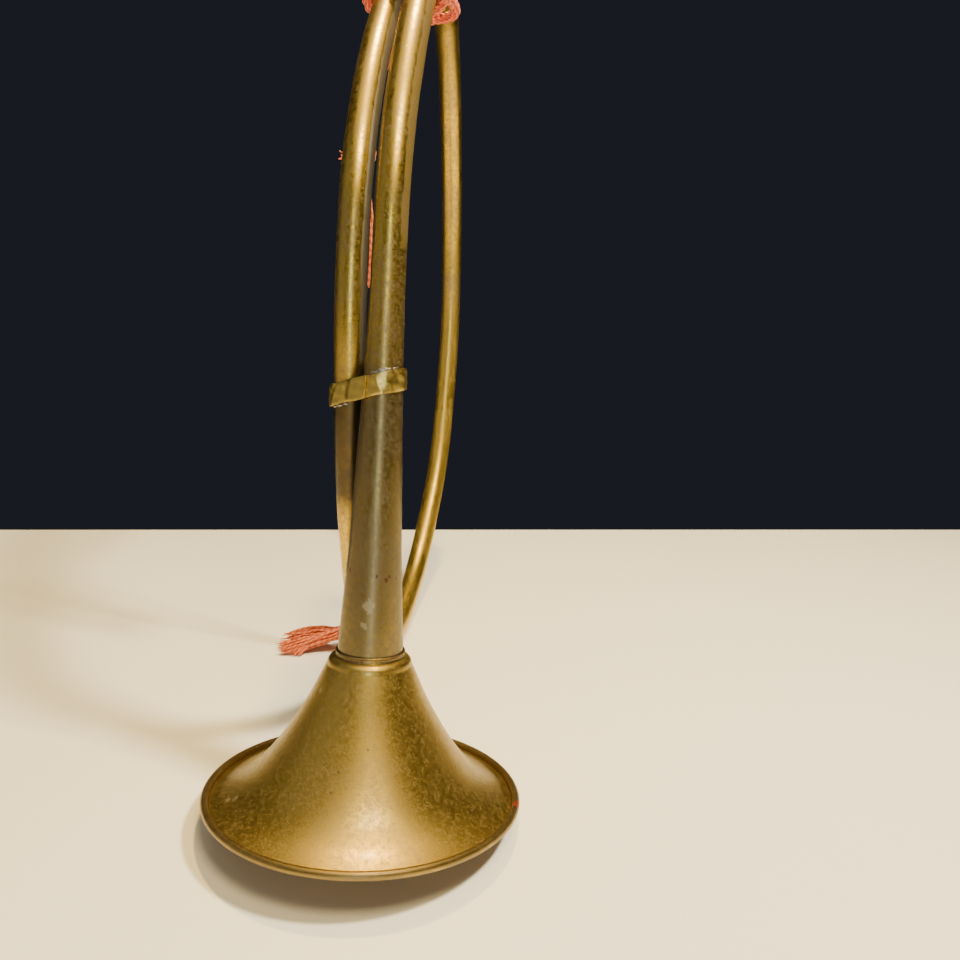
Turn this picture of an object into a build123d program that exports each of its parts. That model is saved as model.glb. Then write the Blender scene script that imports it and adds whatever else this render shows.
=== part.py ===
"""A valveless brass hunting horn: spun bell, one tall oval coil, pull-out mouthpiece, cord with tassels."""
from build123d import *
from math import acos, atan2, cos, pi, radians, sin, sqrt, tan
import os

os.makedirs("parts", exist_ok=True)

# Driving dimensions, mm. The bell frame has its origin at the centre of the bell's mouth, Z up the
# bell's axis, Y towards the back of the coil and X to the right. The row frame is the same horn
# leant back until the bell's rim and the foot of the coil both touch the floor.
BELL_D = 150.0            # over the rolled rim
BELL_WALL = 0.6
RIM_ROLL_R = 1.9          # the sheet rolled round the rim wire
RIM_WIRE_R = 1.25
TUBE_R = 7.9              # outside of the coil's tube over the top; the bore narrows towards the mouth
BACK_R = 7.65             # the same tube down the back and round the foot
PIPE_R = 7.35             # the mouthpipe
TUBE_WALL = 0.5
STEM_FOOT_R = 15.7        # the stem where it enters the bell
STEM_FOOT_Z = 60.0
STEM_TOP_Z = 255.0        # where the stem has tapered down to the tube
SHOULDER_Z = 65.2         # where the bell's sheet turns in to meet the stem
PIPE_GAP = 17.0           # from the stem's axis to the mouthpipe's axis
SLEEVE_L = 9.0            # inner sleeves of the soldered butt joints
STRAP_Z = 196.0
STRAP_W = 10.0
STRAP_T = 0.8
STRAP_SLANT = 15.0        # degrees, rising to the right
STRAP_CLEAR = 1.1         # left round the mouthpipe and filled with solder
RIM_LAND = 0.15           # worn off the underside of the rolled rim
RECEIVER_L = 26.0         # the socket beyond the end of the mouthpipe
MOUTHPIECE_L = 64.0
SHANK_L = 22.0            # the part of the mouthpiece inside the receiver
SHANK_R = 4.8
CORD_R = 2.75
WRAP_TURNS = 4
KNOT_R = 7.0
TASSEL_HEAD_R = 8.0
TASSEL_HEAD_L = 16.0
TASSEL_NECK_R = 5.6
SKIRT_L = 62.0
GAP = 0.05                # soldered and pushed-in pieces

# Outside of the bell's flare: radius and height, from the rim to the shoulder.
FLARE = [(71.6, 1.0), (64.6, 4.0), (55.1, 10.0), (47.4, 18.0), (40.0, 28.0), (32.5, 40.0), (27.1, 50.0),
         (22.4, 60.0), (19.9, SHOULDER_Z)]

# Outside of the stem: radius and height.
STEM = [(STEM_FOOT_R, STEM_FOOT_Z), (15.3, 72.0), (14.1, 92.0), (12.4, 120.0), (11.05, 150.0), (9.85, 178.0),
        (8.85, 204.0), (8.15, 230.0), (TUBE_R, STEM_TOP_Z)]

# Centre line of the coil, as the corners that its bends round off, in the bell frame.
TOP_BOW = [(0, 0, STEM_TOP_Z), (0, 0, 303), (0, 40, 379), (-1, 99, 430), (-6, 173, 445), (-9, 249, 414),
           (-10, 309, 341), (-9.5, 323, 290.5)]
BOTTOM_BOW = [(-9.5, 323, 290.5), (-9, 337, 240), (-11, 326, 134), (-18, 277, 55), (-20.5, 195, 20),
              (-20, 112, 32), (-19, 83.5, 55)]
MOUTHPIPE = [(-19, 83.5, 55), (-18, 55, 78), (-PIPE_GAP, 15, 150), (-PIPE_GAP, 0, 236), (-PIPE_GAP, 2, 296),
             (-18, 30, 350), (-18.5, 78, 408), (-18.5, 125, 462)]

# The cord, in the row frame: it is wound round the two tubes near the top, tied in a knot behind them,
# and its two ends hang from the knot. Each end carries a tassel.
WRAP_CENTRE = (-9.3, -29.5, 394.5)
WRAP_TOP_TUBE = (8.85, -2.3)      # centre of the coil's tube in the winding's own plane
WRAP_PIPE = (-9.05, 3.2)
WRAP_DIRECTION = (0, 0.78, 0.626)
WRAP_CLEAR = 1.2                  # round both tubes, because they curve within the winding
KNOT = (-9.3, -13.5, 383.0)
CORD_SHORT = [(-14.5, -17, 378.5), (-22.5, -19, 373), (-28.5, -20.5, 363), (-32.2, -21.6, 350),
              (-33.9, -22.2, 336), (-33.5, -22, 323)]
CORD_LONG = [(-13.5, -10, 377.5), (-25, -7, 366), (-32, -4, 341), (-35, -3, 290), (-39, 0, 225),
             (-41, 3, 160), (-45, 7, 98), (-44.5, 13, 62), (-40, 17.5, 45), (-35, 19.5, 33)]
CORD_BIGHT = [(10.8, -40.5, 392), (13.8, -33, 387.5), (15.2, -22, 386), (11, -12, 385.5), (1.5, -9.5, 385),
              (-5, -12, 383)]
HANGING_TOP, HANGING_AXIS = (-33.5, -22, 323), (0, 0, -1)
RESTING_TOP, RESTING_AXIS = (-35, 19.5, 33), (-0.62, 0.08, -0.78)
SKIRT_ON_FLOOR = [((-47.4, 21.1, 17.4), 5.4, 5.4), ((-62, 22, 11), 14, 9.8), ((-98, 23, 5.8), 17, 5.6)]


def vec(point):
    """A corner as a vector."""
    return Vector(*point)


def bend_radii(points, share=0.45):
    """The radius of each bend: a share of the shorter run, over the tangent of half the turn."""
    radii = []
    for before, here, after in zip(points, points[1:], points[2:]):
        first, second = vec(here) - vec(before), vec(after) - vec(here)
        half_turn = radians(first.get_angle(second)) / 2
        radii.append(share * min(first.length, second.length) / tan(half_turn))
    return radii


def end_run_radii(points, share):
    """Bend radii of a tube whose end runs are half runs: its neighbour holds the other half."""
    doubled = [vec(points[1]) + (vec(points[0]) - vec(points[1])) * 2, *map(vec, points[1:-1]),
               vec(points[-2]) + (vec(points[-1]) - vec(points[-2])) * 2]
    return bend_radii([tuple(p) for p in doubled], share)


def swept(path, radius):
    """A round bar along a path."""
    return sweep(Plane(path @ 0, z_dir=path % 0) * Circle(radius), path=path)


def bent_tube(points, outside):
    """A thin tube along the corners."""
    path = FilletPolyline(*points, radius=end_run_radii(points, 0.43))
    return swept(path, outside) - swept(path, outside - TUBE_WALL)


def turned(profile):
    """A solid turned about Z from a closed list of radius and height points."""
    outline = Polyline(*[(r, 0, z) for r, z in profile], close=True)
    return revolve(make_face(outline), Axis.Z)


def along(origin, direction, shape):
    """A shape that stands on XY, carried to a point and pointed along a direction."""
    return Plane(origin, z_dir=direction) * shape


def sheet_inside(points, wall):
    """The same outline moved square to itself by the wall, towards the axis."""
    moved = []
    for i, (r, z) in enumerate(points):
        (r0, z0), (r1, z1) = points[max(i - 1, 0)], points[min(i + 1, len(points) - 1)]
        length = sqrt((r1 - r0) ** 2 + (z1 - z0) ** 2)
        moved.append((r - wall * (z1 - z0) / length, z + wall * (r1 - r0) / length))
    return moved


def bell_flare():
    """The spun flare, its edge rolled round the wire and its top turned in to the stem."""
    neck = [(19.6, SHOULDER_Z + 1.4), (19.0, SHOULDER_Z + 2.5), (18.1, SHOULDER_Z + 3.2),
            (17.2, SHOULDER_Z + 3.6), (STEM_FOOT_R + 0.1, SHOULDER_Z + 3.8)]
    inner_neck = [(r, z - BELL_WALL) for r, z in reversed(neck)]
    outer = Spline(*[(r, z) for r, z in FLARE])
    inner_points = list(reversed(sheet_inside(FLARE, BELL_WALL)))
    inner = Spline(*inner_points)
    top = Polyline(FLARE[-1], *neck, *inner_neck, inner_points[0])
    edge = Line(inner_points[-1], FLARE[0])
    section = make_face([outer.edge(), *top.edges(), inner.edge(), edge.edge()])
    roll_at = Location((BELL_D / 2 - RIM_ROLL_R, RIM_ROLL_R))
    roll = roll_at * (Circle(RIM_ROLL_R) - Circle(RIM_WIRE_R + GAP))
    groove = Location((FLARE[0][0] - 2.3, FLARE[0][1] + 1.15)) * Circle(0.45)
    land = Location((BELL_D / 2 - RIM_ROLL_R, 0)) * Rectangle(2 * RIM_ROLL_R, 2 * RIM_LAND)
    section = Plane.XZ * (section + roll - groove - land)
    return revolve(section, Axis.Z)


def rim_wire():
    """The iron wire inside the rolled rim."""
    return Plane(origin=(0, 0, RIM_ROLL_R)) * Torus(BELL_D / 2 - RIM_ROLL_R, RIM_WIRE_R)


def throat_ring():
    """The ring soldered round the stem where it leaves the bell."""
    base = SHOULDER_Z + 3.9
    inner = STEM_FOOT_R - 0.15
    return turned([(inner, base), (inner + 1.0, base), (inner + 0.5, base + 0.9), (inner + 0.6, base + 1.6),
                   (inner + 1.15, base + 2.0), (inner + 1.1, base + 2.5), (inner + 0.05, base + 3.0)])


def bell_stem():
    """The tapered stem, rolled from sheet."""
    inner = [(r - TUBE_WALL, z) for r, z in reversed(STEM)]
    outer_line, inner_line = Spline(*STEM), Spline(*inner)
    ends = [Line(STEM[-1], inner[0]), Line(inner[-1], STEM[0])]
    section = make_face([outer_line.edge(), ends[0].edge(), inner_line.edge(), ends[1].edge()])
    return revolve(Plane.XZ * section, Axis.Z)


def joint_sleeve(before, after, outside):
    """The sleeve inside a butt joint, half in each tube, sized for the narrower tube."""
    middle, direction = vec(before), (vec(after) - vec(before)).normalized()
    bore = outside - TUBE_WALL
    sleeve = Cylinder(bore - GAP, SLEEVE_L) - Cylinder(bore - 0.5, SLEEVE_L)
    return along(middle, direction, sleeve)


def belt_outline(centre_a, radius_a, centre_b, radius_b):
    """The face inside a belt pulled round two circles."""
    (ax, ay), (bx, by) = centre_a, centre_b
    span, heading = sqrt((bx - ax) ** 2 + (by - ay) ** 2), atan2(by - ay, bx - ax)
    lean = acos((radius_a - radius_b) / span)

    def at(cx, cy, radius, angle):
        return (cx + radius * cos(angle), cy + radius * sin(angle))

    a_up, a_down = at(ax, ay, radius_a, heading + lean), at(ax, ay, radius_a, heading - lean)
    b_up, b_down = at(bx, by, radius_b, heading + lean), at(bx, by, radius_b, heading - lean)
    a_far, b_far = at(ax, ay, radius_a, heading + pi), at(bx, by, radius_b, heading)
    return make_face([ThreePointArc(a_up, a_far, a_down), Line(a_down, b_down),
                      ThreePointArc(b_down, b_far, b_up), Line(b_up, a_up)])


def strap_band():
    """The brass strip bent round the stem and the mouthpipe."""
    pipe, stem = (-PIPE_GAP, 7.8), (0, 0)
    stem_r, pipe_r = 9.6, PIPE_R + STRAP_CLEAR
    inside = belt_outline(stem, stem_r, pipe, pipe_r)
    outside = belt_outline(stem, stem_r + STRAP_T, pipe, pipe_r + STRAP_T)
    sleeve = extrude(outside - inside, 3 * STRAP_W, both=True)
    slanting = Rot(0, -STRAP_SLANT, 0) * Box(100, 100, STRAP_W)
    return Pos(0, 0, STRAP_Z) * (sleeve & slanting)


def valley_point(stem_r, pipe_y, bead_r, side):
    """Where a bead rests in the valley between stem and mouthpipe, in front (-1) or behind (+1)."""
    span = sqrt(PIPE_GAP ** 2 + pipe_y ** 2)
    to_stem, to_pipe = stem_r + bead_r, PIPE_R + bead_r
    along_span = (to_stem ** 2 - to_pipe ** 2 + span ** 2) / (2 * span)
    across = side * sqrt(to_stem ** 2 - along_span ** 2)
    ux, uy = -PIPE_GAP / span, pipe_y / span
    return along_span * ux + across * uy, along_span * uy - across * ux


def strap_solder():
    """Beads of solder in the valley between the two tubes, above and below the strap."""
    beads, bead_r = [], 1.4
    for z, stem_r, pipe_y, side in ((205.5, 9.2, 5.4, -1), (185.5, 9.95, 8.9, -1), (205.5, 9.2, 5.4, 1)):
        x, y = valley_point(stem_r, pipe_y, bead_r + 0.2, side)
        beads.append(Pos(x, y, z) * Sphere(bead_r))
    return beads


def mouth_axis():
    """The point where the mouthpipe ends, and its direction there."""
    end, before = vec(MOUTHPIPE[-1]), vec(MOUTHPIPE[-2])
    return end, (end - before).normalized()


def mouthpiece_receiver():
    """The socket on the end of the mouthpipe: a spigot inside it, a bead, and a tapered nose."""
    end, direction = mouth_axis()
    bore = SHANK_R + GAP
    spigot = PIPE_R - TUBE_WALL - GAP
    profile = [(bore, -10), (spigot, -10), (spigot, 0.05), (9.2, 0.05),
               (9.7, 1.2), (9.2, 2.4), (8.2, 2.8), (7.4, RECEIVER_L - 4), (8.3, RECEIVER_L - 3.2),
               (8.6, RECEIVER_L - 1.6), (8.0, RECEIVER_L), (bore, RECEIVER_L)]
    return along(end, direction, turned(profile))


def mouthpiece():
    """The turned cup mouthpiece, its shank in the receiver."""
    end, direction = mouth_axis()
    foot = RECEIVER_L - SHANK_L
    top = foot + MOUTHPIECE_L
    seat = RECEIVER_L + 0.3
    profile = [(2.6, foot), (SHANK_R, foot), (SHANK_R, seat), (6.2, seat), (6.4, seat + 3), (5.2, seat + 6),
               (5.6, top - 26), (7.4, top - 19), (10.4, top - 12), (11.2, top - 6), (12.6, top - 3.6),
               (13.2, top - 1.6), (12.4, top - 0.2), (11.0, top), (9.4, top - 0.8), (8.6, top - 3),
               (7.6, top - 8), (5.2, top - 13), (2.0, top - 17), (1.9, top - 24)]
    return along(end, direction, turned(profile))


def coil_points():
    """Points of the coil's centre line near its foot."""
    path = FilletPolyline(*BOTTOM_BOW, radius=end_run_radii(BOTTOM_BOW, 0.43))
    return [path @ (i / 400) for i in range(401)]


def resting_lean(points):
    """How far the horn leans back, in degrees, when rim and coil stand on one floor: halved until it fits."""
    low, high = 0.0, 20.0
    land_half = sqrt(RIM_ROLL_R ** 2 - (RIM_ROLL_R - RIM_LAND) ** 2)
    while high - low > 1e-4:
        lean = radians((low + high) / 2)
        rim = -(BELL_D / 2 - RIM_ROLL_R + land_half) * sin(lean) + RIM_LAND * cos(lean)
        coil = min(p.Z * cos(lean) - p.Y * sin(lean) for p in points) - BACK_R
        low, high = ((low + high) / 2, high) if coil > rim else (low, (low + high) / 2)
    return low


def lean_back(shape):
    """Carry a piece from the bell frame to the leaning horn, before the frame is centred."""
    return Rot(-LEAN, 0, 0) * shape


def as_list(piece):
    """A node's solids as a list."""
    return piece if isinstance(piece, list) else [piece]


def cord_tube(points):
    """A plain cord along the corners of its route, its bends as large as its runs allow."""
    radii = bend_radii(points)
    path = FilletPolyline(*points, radius=radii)
    bar = swept(path, CORD_R)
    expected = pi * CORD_R ** 2 * path.length
    print("cord length", round(path.length, 1), "radii", [round(r, 1) for r in radii],
          "volume ratio", round(bar.volume / expected, 4))
    return bar


def cord_wrap():
    """The outer shape of the winding round the two tubes."""
    clear = TUBE_R + WRAP_CLEAR
    inside = belt_outline(WRAP_TOP_TUBE, clear, WRAP_PIPE, clear)
    outside = belt_outline(WRAP_TOP_TUBE, clear + 2 * CORD_R, WRAP_PIPE, clear + 2 * CORD_R)
    ring = extrude(outside - inside, WRAP_TURNS * CORD_R, both=True)
    return Plane(WRAP_CENTRE, x_dir=(1, 0, 0), z_dir=WRAP_DIRECTION) * ring


def cord_knot():
    """The knot behind the tubes."""
    return Pos(*KNOT) * Sphere(KNOT_R)


def tassel_head(top, axis):
    """The woven knob of a tassel, from its top along its axis."""
    half = TASSEL_HEAD_L / 2
    profile = [(0, 0), (3.4, 0), (5.6, 1.0), (7.4, half - 3.6), (TASSEL_HEAD_R, half - 1.2),
               (TASSEL_HEAD_R, half + 1.2), (7.4, half + 3.6), (5.8, TASSEL_HEAD_L - 1.0),
               (TASSEL_NECK_R, TASSEL_HEAD_L), (0, TASSEL_HEAD_L)]
    return along(top, axis, turned(profile))


def tassel_binding(top, axis):
    """The thread bound round the tassel's neck."""
    neck = vec(top) + vec(axis).normalized() * (TASSEL_HEAD_L + 0.1)
    return along(neck, axis, turned([(0, 0), (6.0, 0), (6.6, 0.9), (6.6, 2.3), (6.0, 3.2), (0, 3.2)]))


def hanging_skirt():
    """The strands of the hanging tassel, as one tapered bundle."""
    start = vec(HANGING_TOP) + vec(HANGING_AXIS) * (TASSEL_HEAD_L + 3.4)
    profile = [(0, 0), (5.6, 0), (7.4, 10), (8.4, 30), (8.8, SKIRT_L), (0, SKIRT_L)]
    return along(start, HANGING_AXIS, turned(profile))


def resting_skirt():
    """The strands of the resting tassel, spread on the floor."""
    centres = [vec(centre) for centre, _, _ in SKIRT_ON_FLOOR]
    directions = [vec(RESTING_AXIS), centres[2] - centres[0], centres[2] - centres[1]]
    sections = []
    for (centre, half_wide, half_high), direction in zip(SKIRT_ON_FLOOR, directions):
        flat = Vector(0, 0, 1).cross(direction).normalized()
        sections.append(Plane(centre, x_dir=flat, z_dir=direction) * Ellipse(half_wide, half_high))
    return loft(sections, ruled=True)


def export(node, shapes):
    """Write one node's STEP file, its identical loose solids together."""
    solids = [solid for shape in shapes for solid in shape.solids()]
    shape = solids[0] if len(solids) == 1 else Compound(children=solids)
    export_step(shape, f"parts/{node}.step")


LEAN = resting_lean(coil_points())
print(f"lean {LEAN:.3f} degrees")

HORN = {
    "bell_flare": bell_flare(),
    "rim_wire": rim_wire(),
    "throat_ring": throat_ring(),
    "bell_stem": bell_stem(),
    "top_bow": bent_tube(TOP_BOW, TUBE_R),
    "bottom_bow": bent_tube(BOTTOM_BOW, BACK_R),
    "mouthpipe": bent_tube(MOUTHPIPE, PIPE_R),
    "stem_sleeve": joint_sleeve(TOP_BOW[0], TOP_BOW[1], TUBE_R),
    "back_sleeve": joint_sleeve(BOTTOM_BOW[0], BOTTOM_BOW[1], BACK_R),
    "foot_sleeve": joint_sleeve(MOUTHPIPE[0], MOUTHPIPE[1], PIPE_R),
    "strap_band": strap_band(),
    "strap_solder": strap_solder(),
    "mouthpiece_receiver": mouthpiece_receiver(),
    "mouthpiece": mouthpiece(),
}

CORD_SET = {
    "cord_wrap": cord_wrap(),
    "cord_knot": cord_knot(),
    "cord_short": cord_tube(CORD_SHORT),
    "cord_long": cord_tube(CORD_LONG),
    "cord_bight": cord_tube(CORD_BIGHT),
    "hanging_tassel_head": tassel_head(HANGING_TOP, HANGING_AXIS),
    "hanging_tassel_binding": tassel_binding(HANGING_TOP, HANGING_AXIS),
    "hanging_tassel_skirt": hanging_skirt(),
    "resting_tassel_head": tassel_head(RESTING_TOP, RESTING_AXIS),
    "resting_tassel_binding": tassel_binding(RESTING_TOP, RESTING_AXIS),
    "resting_tassel_skirt": resting_skirt(),
}

leaning = {node: [lean_back(s) for s in as_list(piece)] for node, piece in HORN.items()}
box = Compound(children=[Compound(s.solids()) for group in leaning.values() for s in group]).bounding_box()
CENTRE = Vector((box.min.X + box.max.X) / 2, (box.min.Y + box.max.Y) / 2, box.min.Z)
print("row origin in the leaning frame", CENTRE, "size", box.size)

for node, shapes in leaning.items():
    export(node, [Pos(*(-CENTRE)) * s for s in shapes])
for node, piece in CORD_SET.items():
    export(node, [piece])
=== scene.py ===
"""A valveless brass hunting horn with a tasselled cord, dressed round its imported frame.

Lengths inside the pieces are millimetres, as a maker gives them. The bell frame has its origin at the
centre of the bell's mouth, Z up the bell's axis, Y towards the back of the coil and X to the right. The
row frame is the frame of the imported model, in metres.
"""
import logging
import math
from dataclasses import dataclass, field
from enum import Enum

import bpy
import numpy as np
from mathutils import Matrix


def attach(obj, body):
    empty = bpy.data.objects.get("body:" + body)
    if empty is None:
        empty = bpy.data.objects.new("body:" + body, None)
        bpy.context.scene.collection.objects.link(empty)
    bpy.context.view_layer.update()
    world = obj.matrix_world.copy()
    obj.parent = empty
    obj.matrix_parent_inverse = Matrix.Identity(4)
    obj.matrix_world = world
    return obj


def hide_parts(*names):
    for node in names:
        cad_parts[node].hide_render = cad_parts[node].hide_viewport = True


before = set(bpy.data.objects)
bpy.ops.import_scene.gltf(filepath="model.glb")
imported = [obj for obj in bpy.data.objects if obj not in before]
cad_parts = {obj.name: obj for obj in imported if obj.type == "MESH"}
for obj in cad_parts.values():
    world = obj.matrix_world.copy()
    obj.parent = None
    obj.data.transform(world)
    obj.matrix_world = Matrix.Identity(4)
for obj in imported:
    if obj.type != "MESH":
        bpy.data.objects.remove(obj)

LOG = logging.getLogger("horn")
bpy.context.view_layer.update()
Array = np.ndarray
Colour = tuple[float, float, float]
Point = tuple[float, float, float]
MM = 0.001
FULL_TURN = 2.0 * np.pi
# The bell's axis leans this far back from upright.
LEAN = math.radians(8.046)
# The row frame's origin in the leaned bell frame, in millimetres.
CENTRE = np.array([0.0, 148.54, -10.1875])
# Random phases are drawn from nought to this.
ANY_PHASE = 6.28
# Points in each arc of a bent tube's centre line.
ARC_POINTS = 25
# The colour inputs and the colour output of a Mix node.
MIX_FIRST, MIX_SECOND, MIX_RESULT = 6, 7, 2
X_AXIS = np.array([1.0, 0.0, 0.0])
Y_AXIS = np.array([0.0, 1.0, 0.0])
Z_AXIS = np.array([0.0, 0.0, 1.0])


class Body(Enum):
    """The bodies of the frame that pieces ride on."""

    HORN = "horn"
    MOUTHPIECE = "mouthpiece"


# ---------------------------------------------------------------- shapes


def unit(vectors: Array) -> Array:
    """Each vector over its own length."""
    return vectors / np.linalg.norm(vectors, axis=-1, keepdims=True)


def leaned(points: Array) -> Array:
    """Directions of the bell frame in the row frame: turned about X by the lean.

    Args:
        points: Directions in the bell frame.

    Returns:
        The same directions in the row frame.
    """
    x, y, z = np.moveaxis(np.asarray(points, float), -1, 0)
    sine, cosine = math.sin(LEAN), math.cos(LEAN)
    return np.stack([x, y * cosine + z * sine, z * cosine - y * sine], axis=-1)


def to_row(points: Array) -> Array:
    """Points of the bell frame in the row frame, still in millimetres: turned, then moved to its origin."""
    return leaned(points) - CENTRE


def ease(value: Array) -> Array:
    """A smooth step from 0 to 1: 3t squared less 2t cubed, with t held between 0 and 1."""
    held = np.clip(value, 0.0, 1.0)
    return held * held * (3.0 - 2.0 * held)


def round_angles(columns: int) -> Array:
    """Evenly spaced angles, once round."""
    return np.linspace(0.0, FULL_TURN, columns, endpoint=False)


def spokes(angle: Array, side: Array, up: Array) -> Array:
    """Directions at angles round an axis: cos t * side + sin t * up. The angles' last axis has one place."""
    return np.cos(angle) * side + np.sin(angle) * up


def run_lengths(line: Array) -> Array:
    """The length along a line at each of its points."""
    steps = np.linalg.norm(np.diff(line, axis=0), axis=1)
    return np.concatenate([[0.0], np.cumsum(steps)])


def spaced(line: Array, count: int) -> Array:
    """The same line with its points spaced evenly along its length.

    Args:
        line: The line's points.
        count: How many points to give back.

    Returns:
        Evenly spaced points of the line.
    """
    length = run_lengths(line)
    at = np.linspace(0.0, length[-1], count)
    return np.stack([np.interp(at, length, line[:, k]) for k in range(line.shape[1])], axis=1)


def smooth_through(points: Array, count: int) -> Array:
    """A natural cubic spline through points.

    Between two knots it is a*p0 + b*p1 + ((a^3 - a)*m0 + (b^3 - b)*m1)*h^2/6, where a and b share the
    step h and m are the second derivatives, which are zero at both ends.

    Args:
        points: The points that it passes through, one row each.
        count: How many points to give back.

    Returns:
        Points of the spline, evenly spaced by chord length.
    """
    knots = run_lengths(points)
    step = np.diff(knots)
    inner = np.arange(1, len(points) - 1)
    matrix = np.eye(len(points))
    matrix[inner, inner - 1] = step[:-1]
    matrix[inner, inner] = 2.0 * (step[:-1] + step[1:])
    matrix[inner, inner + 1] = step[1:]
    right = np.zeros_like(points)
    right[1:-1] = 6.0 * np.diff(np.diff(points, axis=0) / step[:, None], axis=0)
    second = np.linalg.solve(matrix, right)
    at = np.linspace(0.0, knots[-1], count)
    left = np.clip(np.searchsorted(knots, at, side="right") - 1, 0, len(points) - 2)
    width = step[left][:, None]
    a = (knots[left + 1] - at)[:, None] / width
    b = 1.0 - a
    bend = (a**3 - a) * second[left] + (b**3 - b) * second[left + 1]
    return a * points[left] + b * points[left + 1] + bend * width**2 / 6.0


def eased(profile: Array, rounds: int = 3) -> Array:
    """A closed profile with its corners cut: each side keeps its middle half, again and again.

    Args:
        profile: The profile's corners.
        rounds: How often they are cut.

    Returns:
        The profile with twice as many points for each round.
    """
    for _ in range(rounds):
        ahead = np.roll(profile, -1, axis=0)
        pair = [0.75 * profile + 0.25 * ahead, 0.25 * profile + 0.75 * ahead]
        profile = np.stack(pair, axis=1).reshape(-1, profile.shape[1])
    return profile


@dataclass
class Skin:
    """A surface's points, its faces of four corners and of three, and each corner's place in its UV map."""

    points: Array
    quads: Array
    quad_uv: Array
    fans: Array = field(default_factory=lambda: np.zeros((0, 3), int))
    fan_uv: Array = field(default_factory=lambda: np.zeros((0, 3, 2)))

    @staticmethod
    def joined(skins: list["Skin"]) -> "Skin":
        """Several skins as one.

        Args:
            skins: The skins.

        Returns:
            One skin that holds them all.
        """
        starts = np.cumsum([0] + [len(s.points) for s in skins[:-1]])
        return Skin(
            np.concatenate([s.points for s in skins]),
            np.concatenate([s.quads + start for s, start in zip(skins, starts)]),
            np.concatenate([s.quad_uv for s in skins]),
            np.concatenate([s.fans + start for s, start in zip(skins, starts)]),
            np.concatenate([s.fan_uv for s in skins]),
        )

    def volume(self) -> float:
        """The volume inside: a sixth of the sum of each triangle's triple product.

        Returns:
            The volume, which is below zero when the faces point inwards.
        """
        halves = np.concatenate([self.quads[:, [0, 1, 2]], self.quads[:, [0, 2, 3]], self.fans])
        a, b, c = (self.points[halves[:, k]] for k in range(3))
        return float(np.einsum("ij,ij->i", a, np.cross(b, c)).sum() / 6.0)

    def outward(self) -> "Skin":
        """The same skin with its faces pointing out.

        Returns:
            This skin, or a copy with every face turned over.
        """
        if self.volume() >= 0.0:
            return self
        return Skin(
            self.points,
            self.quads[:, ::-1],
            self.quad_uv[:, ::-1],
            self.fans[:, ::-1],
            self.fan_uv[:, ::-1],
        )


def grid_skin(points: Array, loop: bool = False, scale: float = MM) -> Skin:
    """A skin over a grid whose columns close into rings.

    Args:
        points: The grid, rows along the piece and columns round it.
        loop: Whether the last row joins the first. Otherwise a fan closes each end.
        scale: Metres of UV for each unit of length along the rows.

    Returns:
        The closed skin. Its UV map has the length along in U and the share of a turn in V.
    """
    rows, columns = points.shape[:2]
    ringed = np.concatenate([points, points[:1]]) if loop else points
    along = np.linalg.norm(np.diff(ringed, axis=0), axis=2).mean(axis=1)
    u = np.concatenate([[0.0], np.cumsum(along)]) * scale
    v = np.arange(columns + 1) / columns
    i, j = np.meshgrid(np.arange(rows if loop else rows - 1), np.arange(columns), indexing="ij")
    i, j = i.ravel(), j.ravel()
    after, right = (i + 1) % rows, (j + 1) % columns
    quads = np.stack([i * columns + j, i * columns + right, after * columns + right, after * columns + j], 1)
    corners = [(i, j), (i, j + 1), (i + 1, j + 1), (i + 1, j)]
    quad_uv = np.stack([np.stack([u[a], v[b]], axis=1) for a, b in corners], axis=1)
    flat = points.reshape(-1, 3)
    if loop:
        return Skin(flat, quads, quad_uv)
    ring = np.arange(columns)
    turn = (ring + 1) % columns
    low, high = len(flat), len(flat) + 1
    last = (rows - 1) * columns
    fans = np.concatenate(
        [
            np.stack([np.full(columns, low), turn, ring], axis=1),
            np.stack([np.full(columns, high), last + ring, last + turn], axis=1),
        ]
    )
    fan_v = np.stack([v[:-1], v[:-1], v[:-1]], axis=1)
    fan_u = np.concatenate([np.full((columns, 3), u[0]), np.full((columns, 3), u[-1])])
    fan_uv = np.stack([fan_u, np.concatenate([fan_v, fan_v])], axis=2)
    closed = np.concatenate([flat, points[0].mean(axis=0)[None], points[-1].mean(axis=0)[None]])
    return Skin(closed, quads, quad_uv, fans, fan_uv)


def turned(profile: Array, origin: Array, axis: Array, columns: int, closed: bool = True) -> Skin:
    """A lathe piece: each point of the profile, at radius r and height h, goes round the axis.

    A point is origin + h*axis + r*(cos t * side + sin t * up), with t from nought to a full turn.

    Args:
        profile: Radius and height of each point.
        origin: Where height is zero.
        axis: The direction of height.
        columns: How many steps there are in a turn.
        closed: Whether the profile is a loop.

    Returns:
        The skin.
    """
    axis = unit(np.asarray(axis, float))
    reference = Y_AXIS if abs(axis[1]) < 0.9 else X_AXIS
    side = unit(np.cross(reference, axis))
    up = np.cross(axis, side)
    spoke = spokes(round_angles(columns)[:, None], side, up)
    grid = origin + profile[:, 1, None, None] * axis + profile[:, 0, None, None] * spoke[None]
    return grid_skin(grid, loop=closed).outward()


def carried(line: Array, section: Array, reference: Array) -> Array:
    """A section carried along a line.

    At each point of the line, side is the reference crossed with the line's direction, and up is the
    direction crossed with side. A section point (a, b) goes to line + a*side + b*up.

    Args:
        line: The line's points.
        section: The section's points, the same all along or one set for each point of the line.
        reference: A direction that the line never takes.

    Returns:
        The grid, rows along the line.
    """
    direction = unit(np.gradient(line, axis=0))
    side = unit(np.cross(reference, direction))
    up = np.cross(direction, side)
    held = section if section.ndim == 3 else np.broadcast_to(section, (len(line), *section.shape))
    return line[:, None] + held[..., :1] * side[:, None] + held[..., 1:] * up[:, None]


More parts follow.
